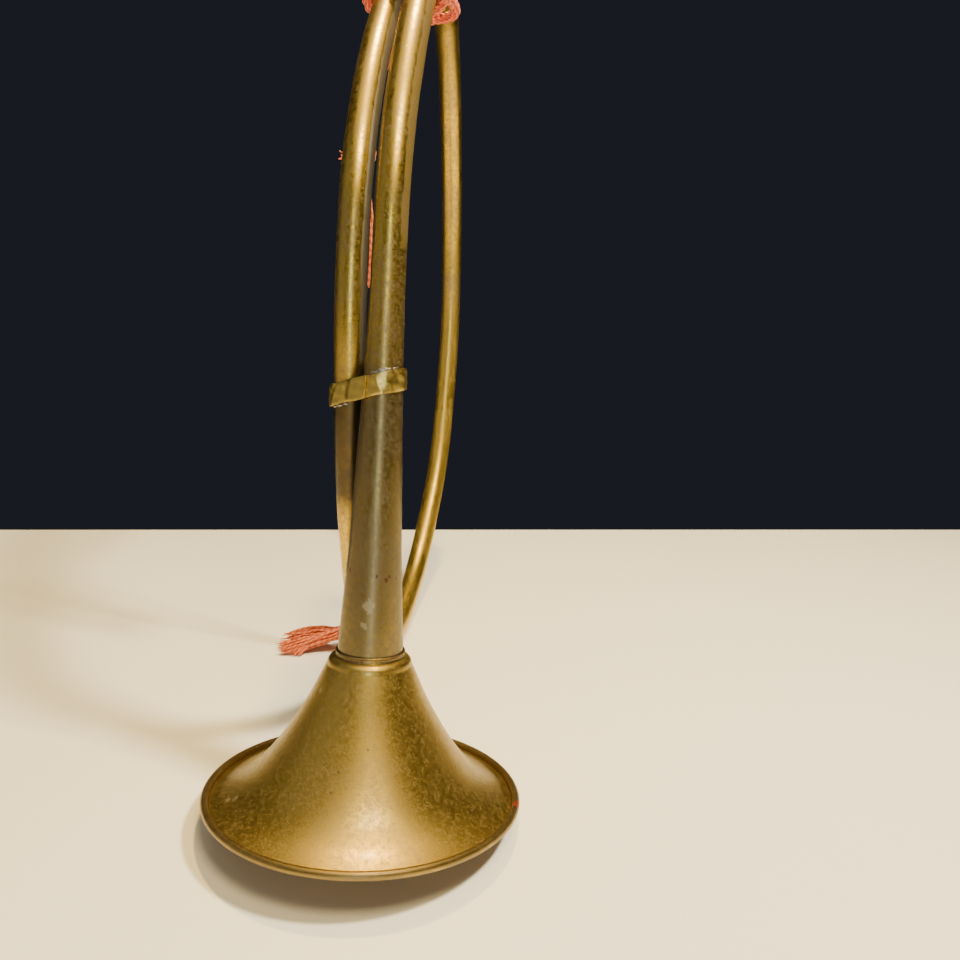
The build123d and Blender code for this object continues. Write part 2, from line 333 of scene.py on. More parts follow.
def circle(radius: float, columns: int) -> Array:
    """Points of a circle, once round."""
    angle = round_angles(columns)
    return radius * np.stack([np.cos(angle), np.sin(angle)], axis=1)


def bent_line(points: list[Point], share: float, step: float) -> Array:
    """The centre line of a bent tube: straight runs with a tangent arc at each corner.

    An arc takes its share of the shorter run beside it, counting an end run twice over, because the next
    tube holds its other half. Its points are start + r*sin(a)*d + r*(1 - cos(a))*n.

    Args:
        points: The corners.
        share: The arc's share of the shorter run.
        step: The spacing of the points given back.

    Returns:
        Evenly spaced points.
    """
    corners = np.asarray(points, float)
    runs = np.diff(corners, axis=0)
    lengths = np.linalg.norm(runs, axis=1)
    counted = lengths.copy()
    counted[[0, -1]] *= 2.0
    parts = [corners[:1]]
    for k in range(1, len(corners) - 1):
        before, after = unit(runs[k - 1]), unit(runs[k])
        turn = math.acos(float(np.clip(before @ after, -1.0, 1.0)))
        back = share * min(counted[k - 1], counted[k])
        radius = back / math.tan(turn / 2.0)
        inward = unit(after - (after @ before) * before)
        angle = np.linspace(0.0, turn, ARC_POINTS)[:, None]
        start = corners[k] - back * before
        parts.append(start + radius * np.sin(angle) * before + radius * (1.0 - np.cos(angle)) * inward)
    parts.append(corners[-1:])
    line = np.concatenate(parts)
    return spaced(line, int(run_lengths(line)[-1] / step) + 2)


def waves(points: Array, seed: int, size: float, count: int = 6) -> Array:
    """Slow random waves over points, from -1 to 1: the mean of a few sines with random directions.

    Args:
        points: Where they are worked out.
        seed: Which waves they are.
        size: Their usual length. Each sine has 0.6 to 1.5 waves in it.
        count: How many sines there are.

    Returns:
        The height of the waves at each point.
    """
    rng = np.random.default_rng(seed)
    directions = unit(rng.normal(size=(count, 3))) * rng.uniform(0.6, 1.5, (count, 1)) * FULL_TURN / size
    return np.sin(points @ directions.T + rng.uniform(0.0, ANY_PHASE, count)).mean(axis=-1)


def spun_skin(outline: Array, columns: int, depth: Array, seed: int, size: float) -> Skin:
    """A loop turned about the bell's axis and dented.

    A point at radius r and height h goes to r*(cos t, sin t, 0) + h*Z, and then square to the axis by its
    depth times slow waves.

    Args:
        outline: Radius and height of each point of the loop.
        columns: How many steps there are in a turn.
        depth: How far the waves move each point of the loop, in millimetres.
        seed: Which waves they are.
        size: Their length.

    Returns:
        The skin, in the row frame.
    """
    angle = round_angles(columns)
    spoke = np.stack([np.cos(angle), np.sin(angle), np.zeros_like(angle)], axis=1)
    grid = outline[:, :1, None] * spoke[None] + outline[:, 1, None, None] * Z_AXIS
    push = depth[:, None] * waves(grid, seed, size)
    return grid_skin(to_row(grid + push[..., None] * spoke[None]), loop=True).outward()


def piece(name: str, skin: Skin, material: bpy.types.Material, sharp: float = 60.0) -> bpy.types.Object:
    """A mesh object from a skin in row-frame millimetres, smooth, with its UV map and material.

    Args:
        name: The object's name.
        skin: The closed surface.
        material: Its finish.
        sharp: The angle in degrees from which an edge stays sharp.

    Returns:
        The object, at the origin.
    """
    mesh = bpy.data.meshes.new(name)
    mesh.vertices.add(len(skin.points))
    mesh.vertices.foreach_set("co", (skin.points * MM).astype(np.float32).ravel())
    mesh.loops.add(4 * len(skin.quads) + 3 * len(skin.fans))
    corners = np.concatenate([skin.quads.ravel(), skin.fans.ravel()])
    mesh.loops.foreach_set("vertex_index", corners.astype(np.int32))
    fan_starts = 4 * len(skin.quads) + 3 * np.arange(len(skin.fans))
    starts = np.concatenate([4 * np.arange(len(skin.quads)), fan_starts])
    mesh.polygons.add(len(starts))
    mesh.polygons.foreach_set("loop_start", starts.astype(np.int32))
    mesh.update(calc_edges=True)
    uv = mesh.uv_layers.new(name="along_and_round")
    places = np.concatenate([skin.quad_uv.reshape(-1, 2), skin.fan_uv.reshape(-1, 2)])
    uv.data.foreach_set("uv", places.astype(np.float32).ravel())
    mesh.shade_smooth()
    mesh.set_sharp_from_angle(angle=math.radians(sharp))
    mesh.materials.append(material)
    made = bpy.data.objects.new(name, mesh)
    bpy.context.scene.collection.objects.link(made)
    return made


# ---------------------------------------------------------------- shader maths


@dataclass(frozen=True)
class Value:
    """A number in a node tree. Arithmetic on it adds Math nodes."""

    graph: "Graph"
    socket: bpy.types.NodeSocket

    def math(self, operation: str, *operands: "Value | float") -> "Value":
        """A Math node of that operation on those operands."""
        values = dict(enumerate(operands))
        return self.graph.value("ShaderNodeMath", {"operation": operation}, values)

    def __add__(self, other: "Value | float") -> "Value":
        """The sum."""
        return self.math("ADD", self, other)

    __radd__ = __add__

    def __sub__(self, other: "Value | float") -> "Value":
        """The difference."""
        return self.math("SUBTRACT", self, other)

    def __rsub__(self, other: float) -> "Value":
        """A number less this value."""
        return self.math("SUBTRACT", other, self)

    def __mul__(self, other: "Value | float") -> "Value":
        """The product."""
        return self.math("MULTIPLY", self, other)

    __rmul__ = __mul__

    def sine(self) -> "Value":
        """Its sine."""
        return self.math("SINE", self)

    def most(self, other: "Value | float") -> "Value":
        """The larger of the two."""
        return self.math("MAXIMUM", self, other)

    def step(self, low: float, high: float) -> "Value":
        """A smooth step that is 0 at low and 1 at high."""
        values = {"Value": self, "From Min": low, "From Max": high}
        return self.graph.value("ShaderNodeMapRange", {"interpolation_type": "SMOOTHSTEP"}, values)


class Graph:
    """A material's nodes: one Principled shader and what feeds it."""

    def __init__(self, name: str) -> None:
        """Start a material with a bare Principled shader.

        Args:
            name: The material's name.
        """
        self.material = bpy.data.materials.new(name)
        self.material.use_nodes = True
        self.tree = self.material.node_tree
        self.tree.nodes.clear()
        self.shader = self.node("ShaderNodeBsdfPrincipled")
        self.node("ShaderNodeOutputMaterial", values={"Surface": self.shader.outputs[0]})
        self.places = self.node("ShaderNodeTexCoord")
        self.object = self.places.outputs["Object"]

    def node(self, kind: str, settings: dict | None = None, values: dict | None = None) -> bpy.types.Node:
        """Add a node.

        Args:
            kind: Its type.
            settings: Its own settings, which are set first.
            values: A number, colour, socket or Value for each input, by name or place.

        Returns:
            The node.
        """
        made = self.tree.nodes.new(kind)
        for key, setting in (settings or {}).items():
            setattr(made, key, setting)
        for key, given in (values or {}).items():
            self.feed(made.inputs[key], given)
        return made

    def feed(self, socket: bpy.types.NodeSocket, given: object) -> None:
        """Link or set one input.

        Args:
            socket: The input.
            given: A number, a colour, a socket or a Value.
        """
        source = given.socket if isinstance(given, Value) else given
        if isinstance(source, bpy.types.NodeSocket):
            self.tree.links.new(source, socket)
        else:
            socket.default_value = source

    def value(self, kind: str, settings: dict | None = None, values: dict | None = None) -> Value:
        """The first output of a new node, as a number."""
        return Value(self, self.node(kind, settings, values).outputs[0])

    def noise(self, scale: float, detail: float, rough: float = 0.6, at: object = None) -> Value:
        """Fractal noise on the object's coordinates, or on other ones."""
        values = {"Vector": at or self.object, "Scale": scale, "Detail": detail, "Roughness": rough}
        return self.value("ShaderNodeTexNoise", {"noise_dimensions": "3D"}, values)

    def stretched(self, scale: Point, turn: Point = (0.0, 0.0, 0.0)) -> bpy.types.NodeSocket:
        """The object's coordinates, turned and stretched."""
        values = {"Vector": self.object, "Scale": scale, "Rotation": turn}
        return self.node("ShaderNodeMapping", values=values).outputs[0]

    def spot(self, centre: Point, radius: float, edge: float = 0.35) -> Value:
        """1 within a radius of a point of the row frame, in metres, and 0 past a soft edge.

        Args:
            centre: The point.
            radius: The radius.
            edge: How far the soft edge reaches each way, as a share of the radius.

        Returns:
            The mask.
        """
        values = {0: self.object, 1: centre}
        node = self.node("ShaderNodeVectorMath", {"operation": "DISTANCE"}, values)
        return Value(self, node.outputs["Value"]).step(radius * (1.0 + edge), radius * (1.0 - edge))

    def split_uv(self) -> tuple[Value, Value]:
        """The length along the piece in metres, and the share of a turn round it."""
        node = self.node("ShaderNodeSeparateXYZ", values={0: self.places.outputs["UV"]})
        return Value(self, node.outputs[0]), Value(self, node.outputs[1])

    def mix(self, factor: Value | float, first: object, second: object) -> bpy.types.NodeSocket:
        """One colour turning into another.

        Args:
            factor: How much of the second colour there is.
            first: A colour or a socket.
            second: A colour or a socket.

        Returns:
            The mixed colour.
        """
        values = {0: factor, MIX_FIRST: self.rgba(first), MIX_SECOND: self.rgba(second)}
        settings = {"data_type": "RGBA", "clamp_factor": True}
        return self.node("ShaderNodeMix", settings, values).outputs[MIX_RESULT]

    @staticmethod
    def rgba(colour: object) -> object:
        """A colour with its alpha, or the socket that it already is."""
        return (*colour, 1.0) if isinstance(colour, tuple) else colour

    def bump(self, height: Value, depth: float, strength: float = 1.0) -> None:
        """Feed the shader's normal from a height between 0 and 1, which is that deep in metres.

        Args:
            height: The height.
            depth: Its depth in metres.
            strength: How strongly it tells.
        """
        values = {"Height": height, "Distance": depth, "Strength": strength}
        node = self.node("ShaderNodeBump", values=values)
        self.tree.links.new(node.outputs[0], self.shader.inputs["Normal"])

    def finish(self, values: dict) -> bpy.types.Material:
        """Set the shader's inputs and give the material back.

        Args:
            values: A value for each input, by name.

        Returns:
            The material.
        """
        for key, given in values.items():
            self.feed(self.shader.inputs[key], given)
        return self.material


# ---------------------------------------------------------------- finishes


@dataclass(frozen=True)
class Mark:
    """A spot on the metal: where it is in the row frame, its radius, and its colour."""

    centre: Point
    radius: float
    colour: Colour
    strength: float = 0.8


@dataclass(frozen=True)
class StainOrShadeBand:
    """A band along a tube with a ragged edge, between two lengths in metres and two shares of a turn. Some
    bands are stains and some are painted shade where one tube faces another.
    """

    along: tuple[float, float]
    turn: tuple[float, float]
    colour: Colour
    strength: float = 0.9
    ragged: float = 0.06
    dulling: float = 0.5
    soft_side: float = 0.012
    soft_end: float = 0.006
    end_drift: float = 0.03

    def mask(self, graph: Graph) -> Value:
        """Where it is: the place round the tube and the one along it are within limits, shifted by noise.

        Args:
            graph: The material's nodes.

        Returns:
            The mask, times the strength.
        """
        along, turn = graph.split_uv()
        shifted = turn + self.ragged * (graph.noise(110.0, 4.0) - 0.5)
        start, stop = self.turn
        side = self.soft_side
        band = shifted.step(start - side, start + side) * shifted.step(stop + side, stop - side)
        place = along + self.end_drift * (graph.noise(60.0, 2.0) - 0.5)
        low, high = self.along
        rise = place.step(low - self.soft_end, low + self.soft_end)
        fall = place.step(high + self.soft_end, high - self.soft_end)
        return band * rise * fall * self.strength


@dataclass(frozen=True)
class Patch:
    """A slow change of tint between two heights above the floor, in metres, that fades out over a length. It
    gives the stem a tone of its metal, the back bow a painted highlight and the mouthpipe a painted dark
    reflection.
    """

    low: float
    high: float
    fade: float
    colour: Colour
    strength: float = 0.7
    drift: float = 0.03

    def mask(self, graph: Graph) -> Value:
        """Where it is: the height is between the two, shifted by noise.

        Args:
            graph: The material's nodes.

        Returns:
            The mask.
        """
        node = graph.node("ShaderNodeSeparateXYZ", values={0: graph.object})
        height = Value(graph, node.outputs[2]) + self.drift * (graph.noise(40.0, 4.0) - 0.5)
        return height.step(self.low - self.fade, self.low) * height.step(self.high + self.fade, self.high)


@dataclass(frozen=True)
class AgedBrass:
    """Old brass: bright metal that shows through an olive-brown film, with specks, scratches and lathe rings.

    The film is slow clouds and finer mottling. Where it is thick the metal is darker, browner and duller.
    A thin clear coat of wax and handling gives the sharp core of a highlight. The three scales are those of
    the clouds, the mottling and the grain, in cells to a metre. The relief is in metres.
    """

    clean: Colour = (0.62, 0.43, 0.05)
    film: Colour = (0.26, 0.20, 0.11)
    umber: Colour = (0.085, 0.052, 0.026)
    cover: float = 0.5
    gloss: float = 0.3
    dull: float = 0.46
    contrast: float = 1.0
    specks: float = 0.5
    wax: float = 0.1
    wax_rough: float = 0.16
    wax_tint: Colour = (1.0, 0.92, 0.66)
    rings: float = 0.0
    cloud_scale: float = 26.0
    mottle_scale: float = 380.0
    grain_scale: float = 1500.0
    relief: float = 0.00004
    stains_and_shade: tuple[StainOrShadeBand, ...] = ()
    patches: tuple[Patch, ...] = ()
    marks: tuple[Mark, ...] = ()

    def material(self, name: str) -> bpy.types.Material:
        """The nodes.

        Args:
            name: The material's name.

        Returns:
            The material.
        """
        graph = Graph(name)
        clouds = graph.noise(self.cloud_scale, 4.0)
        mottle = graph.noise(self.mottle_scale, 6.0, 0.7)
        grain = graph.noise(self.grain_scale, 5.0, 0.75)
        half = 0.15 / self.contrast
        film = (clouds * 0.45 + mottle * 0.55 + (self.cover - 0.5) * 0.3).step(0.49 - half, 0.49 + half)
        fine = (grain * 0.75 + mottle * 0.25).step(0.46, 0.6)
        dots = self.dots(graph)
        scratch = self.scratches(graph)
        colour = graph.mix(film * 0.85, self.clean, self.film)
        colour = graph.mix(fine * self.specks * (0.35 + 0.65 * film), colour, self.umber)
        colour = graph.mix(dots, colour, self.umber)
        colour = graph.mix(scratch * 0.5, colour, tuple(1.2 * c for c in self.clean))
        rough = self.gloss + (self.dull - self.gloss) * film + 0.12 * fine - 0.08 * scratch
        metallic = 1.0 - 0.3 * film * fine - 0.3 * dots
        height = 0.5 * mottle + 0.5 * grain - 0.5 * scratch
        if self.rings:
            height = height + self.rings * self.ring_height(graph)
        graph.bump(height, self.relief)
        values = self.stained_and_shaded(graph, colour, rough, metallic)
        wax = {"Coat Weight": self.wax, "Coat Roughness": self.wax_rough, "Coat Tint": (*self.wax_tint, 1.0)}
        return graph.finish(values | wax)

    def stained_and_shaded(self, graph: Graph, colour: object, rough: Value, metallic: Value) -> dict:
        """Lay the patches, the bands and the marks over the plain finish, in that order. Some bands are
        painted shade, and two patches are a painted highlight and a painted dark reflection.

        Args:
            graph: The material's nodes.
            colour: The finish's colour so far.
            rough: Its roughness.
            metallic: How much of it is bare metal.

        Returns:
            The three inputs of the shader by name.
        """
        for patch in self.patches:
            tint = patch.mask(graph)
            colour = graph.mix(tint * patch.strength, colour, patch.colour)
        for stain_or_shade_band in self.stains_and_shade:
            stain_or_shade_mask = stain_or_shade_band.mask(graph)
            colour = graph.mix(stain_or_shade_mask, colour, stain_or_shade_band.colour)
            rough = rough + 0.3 * stain_or_shade_band.dulling * stain_or_shade_mask
            metallic = metallic - stain_or_shade_band.dulling * stain_or_shade_mask
        for mark in self.marks:
            mask = self.torn(graph, mark)
            colour = graph.mix(mask * mark.strength, colour, mark.colour)
            rough = rough + 0.15 * mask
        return {"Base Color": colour, "Roughness": rough, "Metallic": metallic}

    @staticmethod
    def dots(graph: Graph) -> Value:
        """Sparse dark pits about half a millimetre across: near a few cells' centres only.

        Args:
            graph: The material's nodes.

        Returns:
            The mask.
        """
        values = {"Vector": graph.object, "Scale": 210.0}
        near = graph.value("ShaderNodeTexVoronoi", {"feature": "F1"}, values)
        return near.step(0.17, 0.08) * graph.noise(36.0, 2.0).step(0.5, 0.68) * 0.8

    @staticmethod
    def scratches(graph: Graph) -> Value:
        """Hairline scratches in two directions: thin ridges of noise stretched along the piece.

        Args:
            graph: The material's nodes.

        Returns:
            The mask.
        """
        first = graph.noise(1.0, 2.0, 0.5, graph.stretched((1500.0, 1500.0, 42.0), (0.25, 0.0, 0.3)))
        second = graph.noise(1.0, 2.0, 0.5, graph.stretched((60.0, 1200.0, 1200.0), (0.0, 0.6, 0.2)))
        thin = first.step(0.70, 0.76).most(second.step(0.71, 0.77))
        return thin * graph.noise(30.0, 2.0).step(0.45, 0.62)

    @staticmethod
    def ring_height(graph: Graph) -> Value:
        """Fine rings from the lathe: noise of the length along the profile only.

        Args:
            graph: The material's nodes.

        Returns:
            Their height, from 0 to 1.
        """
        along, _ = graph.split_uv()
        line = graph.node("ShaderNodeCombineXYZ", values={0: along}).outputs[0]
        return graph.noise(2600.0, 2.0, 0.6, line) * 0.6 + graph.noise(700.0, 1.0, 0.5, line) * 0.4

    @staticmethod
    def torn(graph: Graph, mark: Mark) -> Value:
        """A mark with an uneven outline: its distance field shifted by noise."""
        edge = graph.noise(600.0, 3.0)
        return (graph.spot(mark.centre, mark.radius, 0.8) + 2.4 * (edge - 0.5)).step(0.45, 0.6)


@dataclass(frozen=True)
class PlainMetal:
    """A dull plain metal, such as solder or iron: mottled between two colours, lightly pitted."""

    light: Colour
    dark: Colour
    rough: float = 0.42
    scale: float = 400.0
    relief: float = 0.00012

    def material(self, name: str) -> bpy.types.Material:
        """The nodes, with the given name.

        Args:
            name: The material's name.

        Returns:
            The material.
        """
        graph = Graph(name)
        mottle = graph.noise(self.scale, 5.0, 0.65)
        colour = graph.mix(mottle.step(0.38, 0.62), self.light, self.dark)
        graph.bump(mottle, self.relief)
        rough = self.rough + 0.25 * (mottle - 0.5)
        return graph.finish({"Base Color": colour, "Roughness": rough, "Metallic": 0.9})


@dataclass(frozen=True)
class DyedYarn:
    """Twisted dyed yarn: fine plies that slant round each strand, faded in places or from yarn to yarn.

    The lay is the length in metres at which the plies come round again. The tones are the share of the
    fading that goes from yarn to yarn instead of from place to place.
    """

    deep: Colour = (0.44, 0.045, 0.016)
    bright: Colour = (0.86, 0.155, 0.055)
    faded: Colour = (0.92, 0.42, 0.24)
    plies: float = 4.0
    lay: float = 0.0045
    wear: float = 0.6
    relief: float = 0.00035
    tones: float = 0.0

    def material(self, name: str) -> bpy.types.Material:
        """The nodes: a sine of the place round the strand plus the place along it makes the plies.

        Args:
            name: The material's name.

        Returns:
            The material.
        """
        graph = Graph(name)
        along, turn = graph.split_uv()
        slant = (turn * self.plies + along * (1.0 / self.lay)) * FULL_TURN
        ply = slant.sine() * 0.5 + 0.5
        fibre = graph.noise(2600.0, 4.0, 0.7)
        line = graph.node("ShaderNodeCombineXYZ", values={1: turn}).outputs[0]
        patch = graph.noise(180.0, 3.0) * (1.0 - self.tones) + self.tones * graph.noise(0.9, 1.0, 0.5, line)
        # Painted shade: the deep colour lies in the grooves between the plies and the bright one on their
        # crests, mixed with fibre tone.
        shade = (ply * 0.5 + fibre * 0.5).step(0.22, 0.68)
        colour = graph.mix(shade, self.deep, self.bright)
        worn = (patch * 0.6 + fibre * 0.4).step(0.5, 0.68) * self.wear
        colour = graph.mix(worn, colour, self.faded)
        graph.bump(ply * 0.65 + fibre * 0.35, self.relief)
        values = {"Base Color": colour, "Roughness": 0.72 + 0.15 * fibre}
        values |= {"Sheen Weight": 0.35, "Sheen Roughness": 0.4}
        return graph.finish(values)


@dataclass(frozen=True)
class PaleBoard:
    """The pale floor: a plain matt white with a faint cream drift and a few specks."""

    cream: Colour = (0.87, 0.795, 0.60)
    white: Colour = (0.90, 0.825, 0.635)

    def material(self, name: str) -> bpy.types.Material:
        """The nodes, with the given name.

        Args:
            name: The material's name.

        Returns:
            The material.
        """
        graph = Graph(name)
        drift = graph.noise(5.0, 3.0)
        colour = graph.mix(drift, self.cream, self.white)
        graph.bump(graph.noise(900.0, 3.0), 0.00004)
        return graph.finish({"Base Color": colour, "Roughness": 0.5 + 0.1 * drift})


@dataclass
class Finishes:
    """Every material of the horn, made once. The rolled rim starts at a length along the flare's section."""

    roll_start: float
    bell: bpy.types.Material = field(init=False)
    lip: bpy.types.Material = field(init=False)
    stem: bpy.types.Material = field(init=False)
    coil: bpy.types.Material = field(init=False)
    back: bpy.types.Material = field(init=False)
    pipe: bpy.types.Material = field(init=False)
    strap: bpy.types.Material = field(init=False)
    mouth: bpy.types.Material = field(init=False)
    solder: bpy.types.Material = field(init=False)
    iron: bpy.types.Material = field(init=False)
    yarn: bpy.types.Material = field(init=False)
    thread: bpy.types.Material = field(init=False)

    def __post_init__(self) -> None:
        """Make them."""
        self.bell_looks()
        self.tube_looks()
        self.small_looks()

    def bell_looks(self) -> None:
        """The flare, whose rolled rim is a darker seam at the end of its section, and the lip."""
        rim = StainOrShadeBand((self.roll_start, 0.3), (-1.0, 2.0), (0.17, 0.12, 0.05), 0.8, 0.0, 0.05)
        bell = AgedBrass(
            cover=0.5, contrast=0.36, rings=0.5, specks=0.35, wax=0.2, stains_and_shade=(rim,), marks=self.bell_marks()
        )
        lip = AgedBrass(film=(0.16, 0.125, 0.08), cover=0.9, specks=0.7)
        self.bell = bell.material("bell_brass")
        self.lip = lip.material("lip_brass")

    def tube_looks(self) -> None:
        """The stem, the two bows and the mouthpipe: painted shade where the tubes face each other, stains and
        a grey band along them, and slow changes of tint that include a painted highlight and a painted dark
        reflection.
        """
        brown, grey, shade = (0.12, 0.08, 0.045), (0.19, 0.18, 0.155), (0.03, 0.026, 0.022)
        olive = Patch(0.07, 0.19, 0.05, (0.135, 0.11, 0.06), 0.75)
        # Painted highlight: the back bow turns brighter and more golden low down, up to about 0.16 m above
        # the floor.
        painted_golden_highlight = Patch(0.0, 0.16, 0.10, (0.72, 0.50, 0.07), 0.7)
        # Painted dark reflection: the mouthpipe is darkened between 0.150 and 0.196 m above the floor.
        painted_dark_reflection = Patch(0.150, 0.196, 0.018, (0.045, 0.033, 0.022), 0.9)
        # Painted shade: a near-black band down the side of the stem that faces the mouthpipe.
        painted_flank_shade = StainOrShadeBand((0.05, 0.30), (0.36, 0.60), shade, 0.85, 0.05)
        # Painted shade: a near-black band along the top bow's side that faces the mouthpipe, across the gap
        # between them.
        painted_facing_shade = StainOrShadeBand((0.0, 0.16), (0.62, 0.87), shade, 0.9, 0.04)
        right_side = StainOrShadeBand((0.0, 0.20), (0.13, 0.33), brown, 0.55, 0.1)
        # A grey band along the upper run of the mouthpipe, on its side that faces the stem.
        grey_flank_by_stem = StainOrShadeBand((0.175, 0.60), (0.135, 0.42), grey, 0.9, 0.05)
        handled = {"gloss": 0.26, "dull": 0.4, "specks": 0.4}
        stem = AgedBrass(
            cover=0.62, gloss=0.3, dull=0.42, stains_and_shade=(painted_flank_shade,), patches=(olive,), marks=self.stem_marks()
        )
        coil = AgedBrass(cover=0.4, stains_and_shade=(painted_facing_shade, right_side), **handled)
        back = AgedBrass(cover=0.6, patches=(painted_golden_highlight,), **handled)
        pipe = AgedBrass(cover=0.42, stains_and_shade=(grey_flank_by_stem,), patches=(painted_dark_reflection,), **handled)
        self.stem = stem.material("stem_brass")
        self.coil = coil.material("coil_brass")
        self.back = back.material("back_brass")
        self.pipe = pipe.material("pipe_brass")

    def small_looks(self) -> None:
        """The strap, the mouthpiece, the solder, the wire in the rim, and the cord's two yarns."""
        strap = AgedBrass(
            clean=(0.68, 0.50, 0.11), film=(0.42, 0.31, 0.09), cover=0.25, contrast=0.7, gloss=0.26,
            specks=0.3,
        )
        mouth = AgedBrass(clean=(0.74, 0.53, 0.09), cover=0.25, gloss=0.2, dull=0.34, wax=0.2)
        thread = DyedYarn(
            deep=(0.50, 0.085, 0.022), bright=(0.80, 0.20, 0.06), faded=(0.90, 0.46, 0.26),
            plies=1.0, lay=0.004, wear=0.6, relief=0.00015, tones=0.7,
        )
        self.strap = strap.material("strap_brass")
        self.mouth = mouth.material("mouthpiece_brass")
        self.solder = PlainMetal((0.36, 0.34, 0.29), (0.16, 0.145, 0.12)).material("soft_solder")
        self.iron = PlainMetal((0.16, 0.14, 0.13), (0.07, 0.045, 0.035), 0.6).material("rim_iron")
        self.yarn = DyedYarn().material("dyed_cord")
        self.thread = thread.material("tassel_thread")

    @staticmethod
    def stem_marks() -> tuple[Mark, ...]:
        """Rust spots and worn places on the stem."""
        rust, pale = (0.10, 0.028, 0.016), (0.42, 0.38, 0.27)
        return (
            Mark((0.004, -0.146, 0.120), 0.0009, rust),
            Mark((0.008, -0.144, 0.118), 0.0011, rust),
            Mark((0.0095, -0.143, 0.1195), 0.0010, rust),
            Mark((0.012, -0.140, 0.118), 0.0008, rust),
            Mark((-0.010, -0.142, 0.121), 0.0011, rust),
            Mark((0.001, -0.149, 0.107), 0.0026, pale, 0.45),
            Mark((0.0015, -0.1485, 0.1045), 0.0016, pale, 0.5),
            Mark((-0.001, -0.151, 0.098), 0.0017, pale, 0.45),
        )

    @staticmethod
    def bell_marks() -> tuple[Mark, ...]:
        """A coppery dent on the rim and a few worn places."""
        pale, copper = (0.55, 0.50, 0.36), (0.55, 0.07, 0.03)
        return (
            Mark((0.0745, -0.152, 0.0125), 0.0032, copper),
            Mark((-0.057, -0.175, 0.019), 0.0018, pale, 0.4),
            Mark((-0.053, -0.176, 0.0205), 0.0014, pale, 0.45),
            Mark((-0.019, -0.156, 0.067), 0.0012, pale, 0.5),
        )


# ---------------------------------------------------------------- the horn


@dataclass
class Bell:
    """The spun flare with its rolled rim, and the ring where the stem leaves it.

    The flare, the neck and the ring are outlines of radius and height. The land is how high the rolled rim's
    underside is cut flat, and the dents move the sheet by up to the dent's depth.
    """

    rim_radius: float = 75.0
    roll: float = 1.9
    wall: float = 0.6
    land: float = 0.15
    flare: tuple = (
        (70.9, 1.35), (64.6, 4.0), (55.1, 10.0), (47.4, 18.0), (40.0, 28.0), (32.5, 40.0), (27.1, 50.0),
        (22.4, 60.0), (19.9, 65.2),
    )
    neck: tuple = (
        (19.8, 65.9), (19.6, 66.6), (19.35, 67.2), (19.0, 67.7), (18.6, 68.1), (18.1, 68.45), (17.2, 68.8),
        (16.3, 69.0), (15.85, 69.0),
    )
    neck_inside: tuple = ((15.85, 68.4), (17.2, 68.1), (18.6, 66.9))
    ring: tuple = (
        (15.55, 69.05), (16.4, 69.05), (16.0, 69.6), (15.9, 70.3), (15.95, 70.8), (16.35, 71.1), (16.4, 71.5),
        (16.1, 71.8), (15.55, 71.9),
    )
    columns: int = 216
    ring_columns: int = 192
    flare_points: int = 150
    neck_points: int = 40
    roll_points: int = 70
    roll_from: float = -150.0
    roll_to: float = 197.0
    dent: float = 0.16
    dent_size: float = 34.0

    def outline(self) -> Array:
        """The flare's section as a loop: up the outside, over the neck, down the inside, round the roll.

        Returns:
            Radius and height of each point.
        """
        outside = smooth_through(np.array(self.flare), self.flare_points)
        neck = smooth_through(np.array(self.neck), self.neck_points)
        edge = np.gradient(outside, axis=0)
        inward = unit(np.stack([-edge[:, 1], edge[:, 0]], axis=1)) * self.wall
        inside = (outside + inward)[::-1]
        turns = np.linspace(self.roll_from, self.roll_to, self.roll_points) - 360.0
        angle = np.radians(turns)[:, None]
        centre = np.array([self.rim_radius - self.roll, self.roll])
        roll = centre + self.roll * np.concatenate([np.cos(angle), np.sin(angle)], axis=1)
        roll[:, 1] = np.maximum(roll[:, 1], self.land)
        return np.concatenate([outside, neck, np.array(self.neck_inside), inside[:-1], roll])

    def roll_start(self) -> float:
        """The length along the section's loop where the rolled rim starts, in metres."""
        outline = self.outline()
        return float(run_lengths(outline)[len(outline) - self.roll_points]) * MM

    def flare_skin(self) -> Skin:
        """The flare turned about Z, with shallow dents that fade out at the rim and the neck.

        Returns:
            The skin.
        """
        outline = self.outline()
        fade = ease((68.0 - outline[:, 0]) / 12.0) * ease((64.0 - outline[:, 1]) / 10.0)
        return spun_skin(outline, self.columns, self.dent * fade, 5, self.dent_size)

    def ring_skin(self) -> Skin:
        """The soldered ring: a thin lip over a hollow collar."""
        profile = eased(np.array(self.ring))
        return turned(profile, to_row(np.zeros(3)), leaned(Z_AXIS), self.ring_columns)

    def build(self, looks: Finishes) -> None:
        """Make the flare and the ring.

        Args:
            looks: The finishes.
        """
        flare = piece("bell_flare_skin", self.flare_skin(), looks.bell)
        dress(flare, Body.HORN, "bell_brass", "bell_flare")
        ring = piece("throat_ring_skin", self.ring_skin(), looks.lip)
        dress(ring, Body.HORN, "bell_brass", "throat_ring")


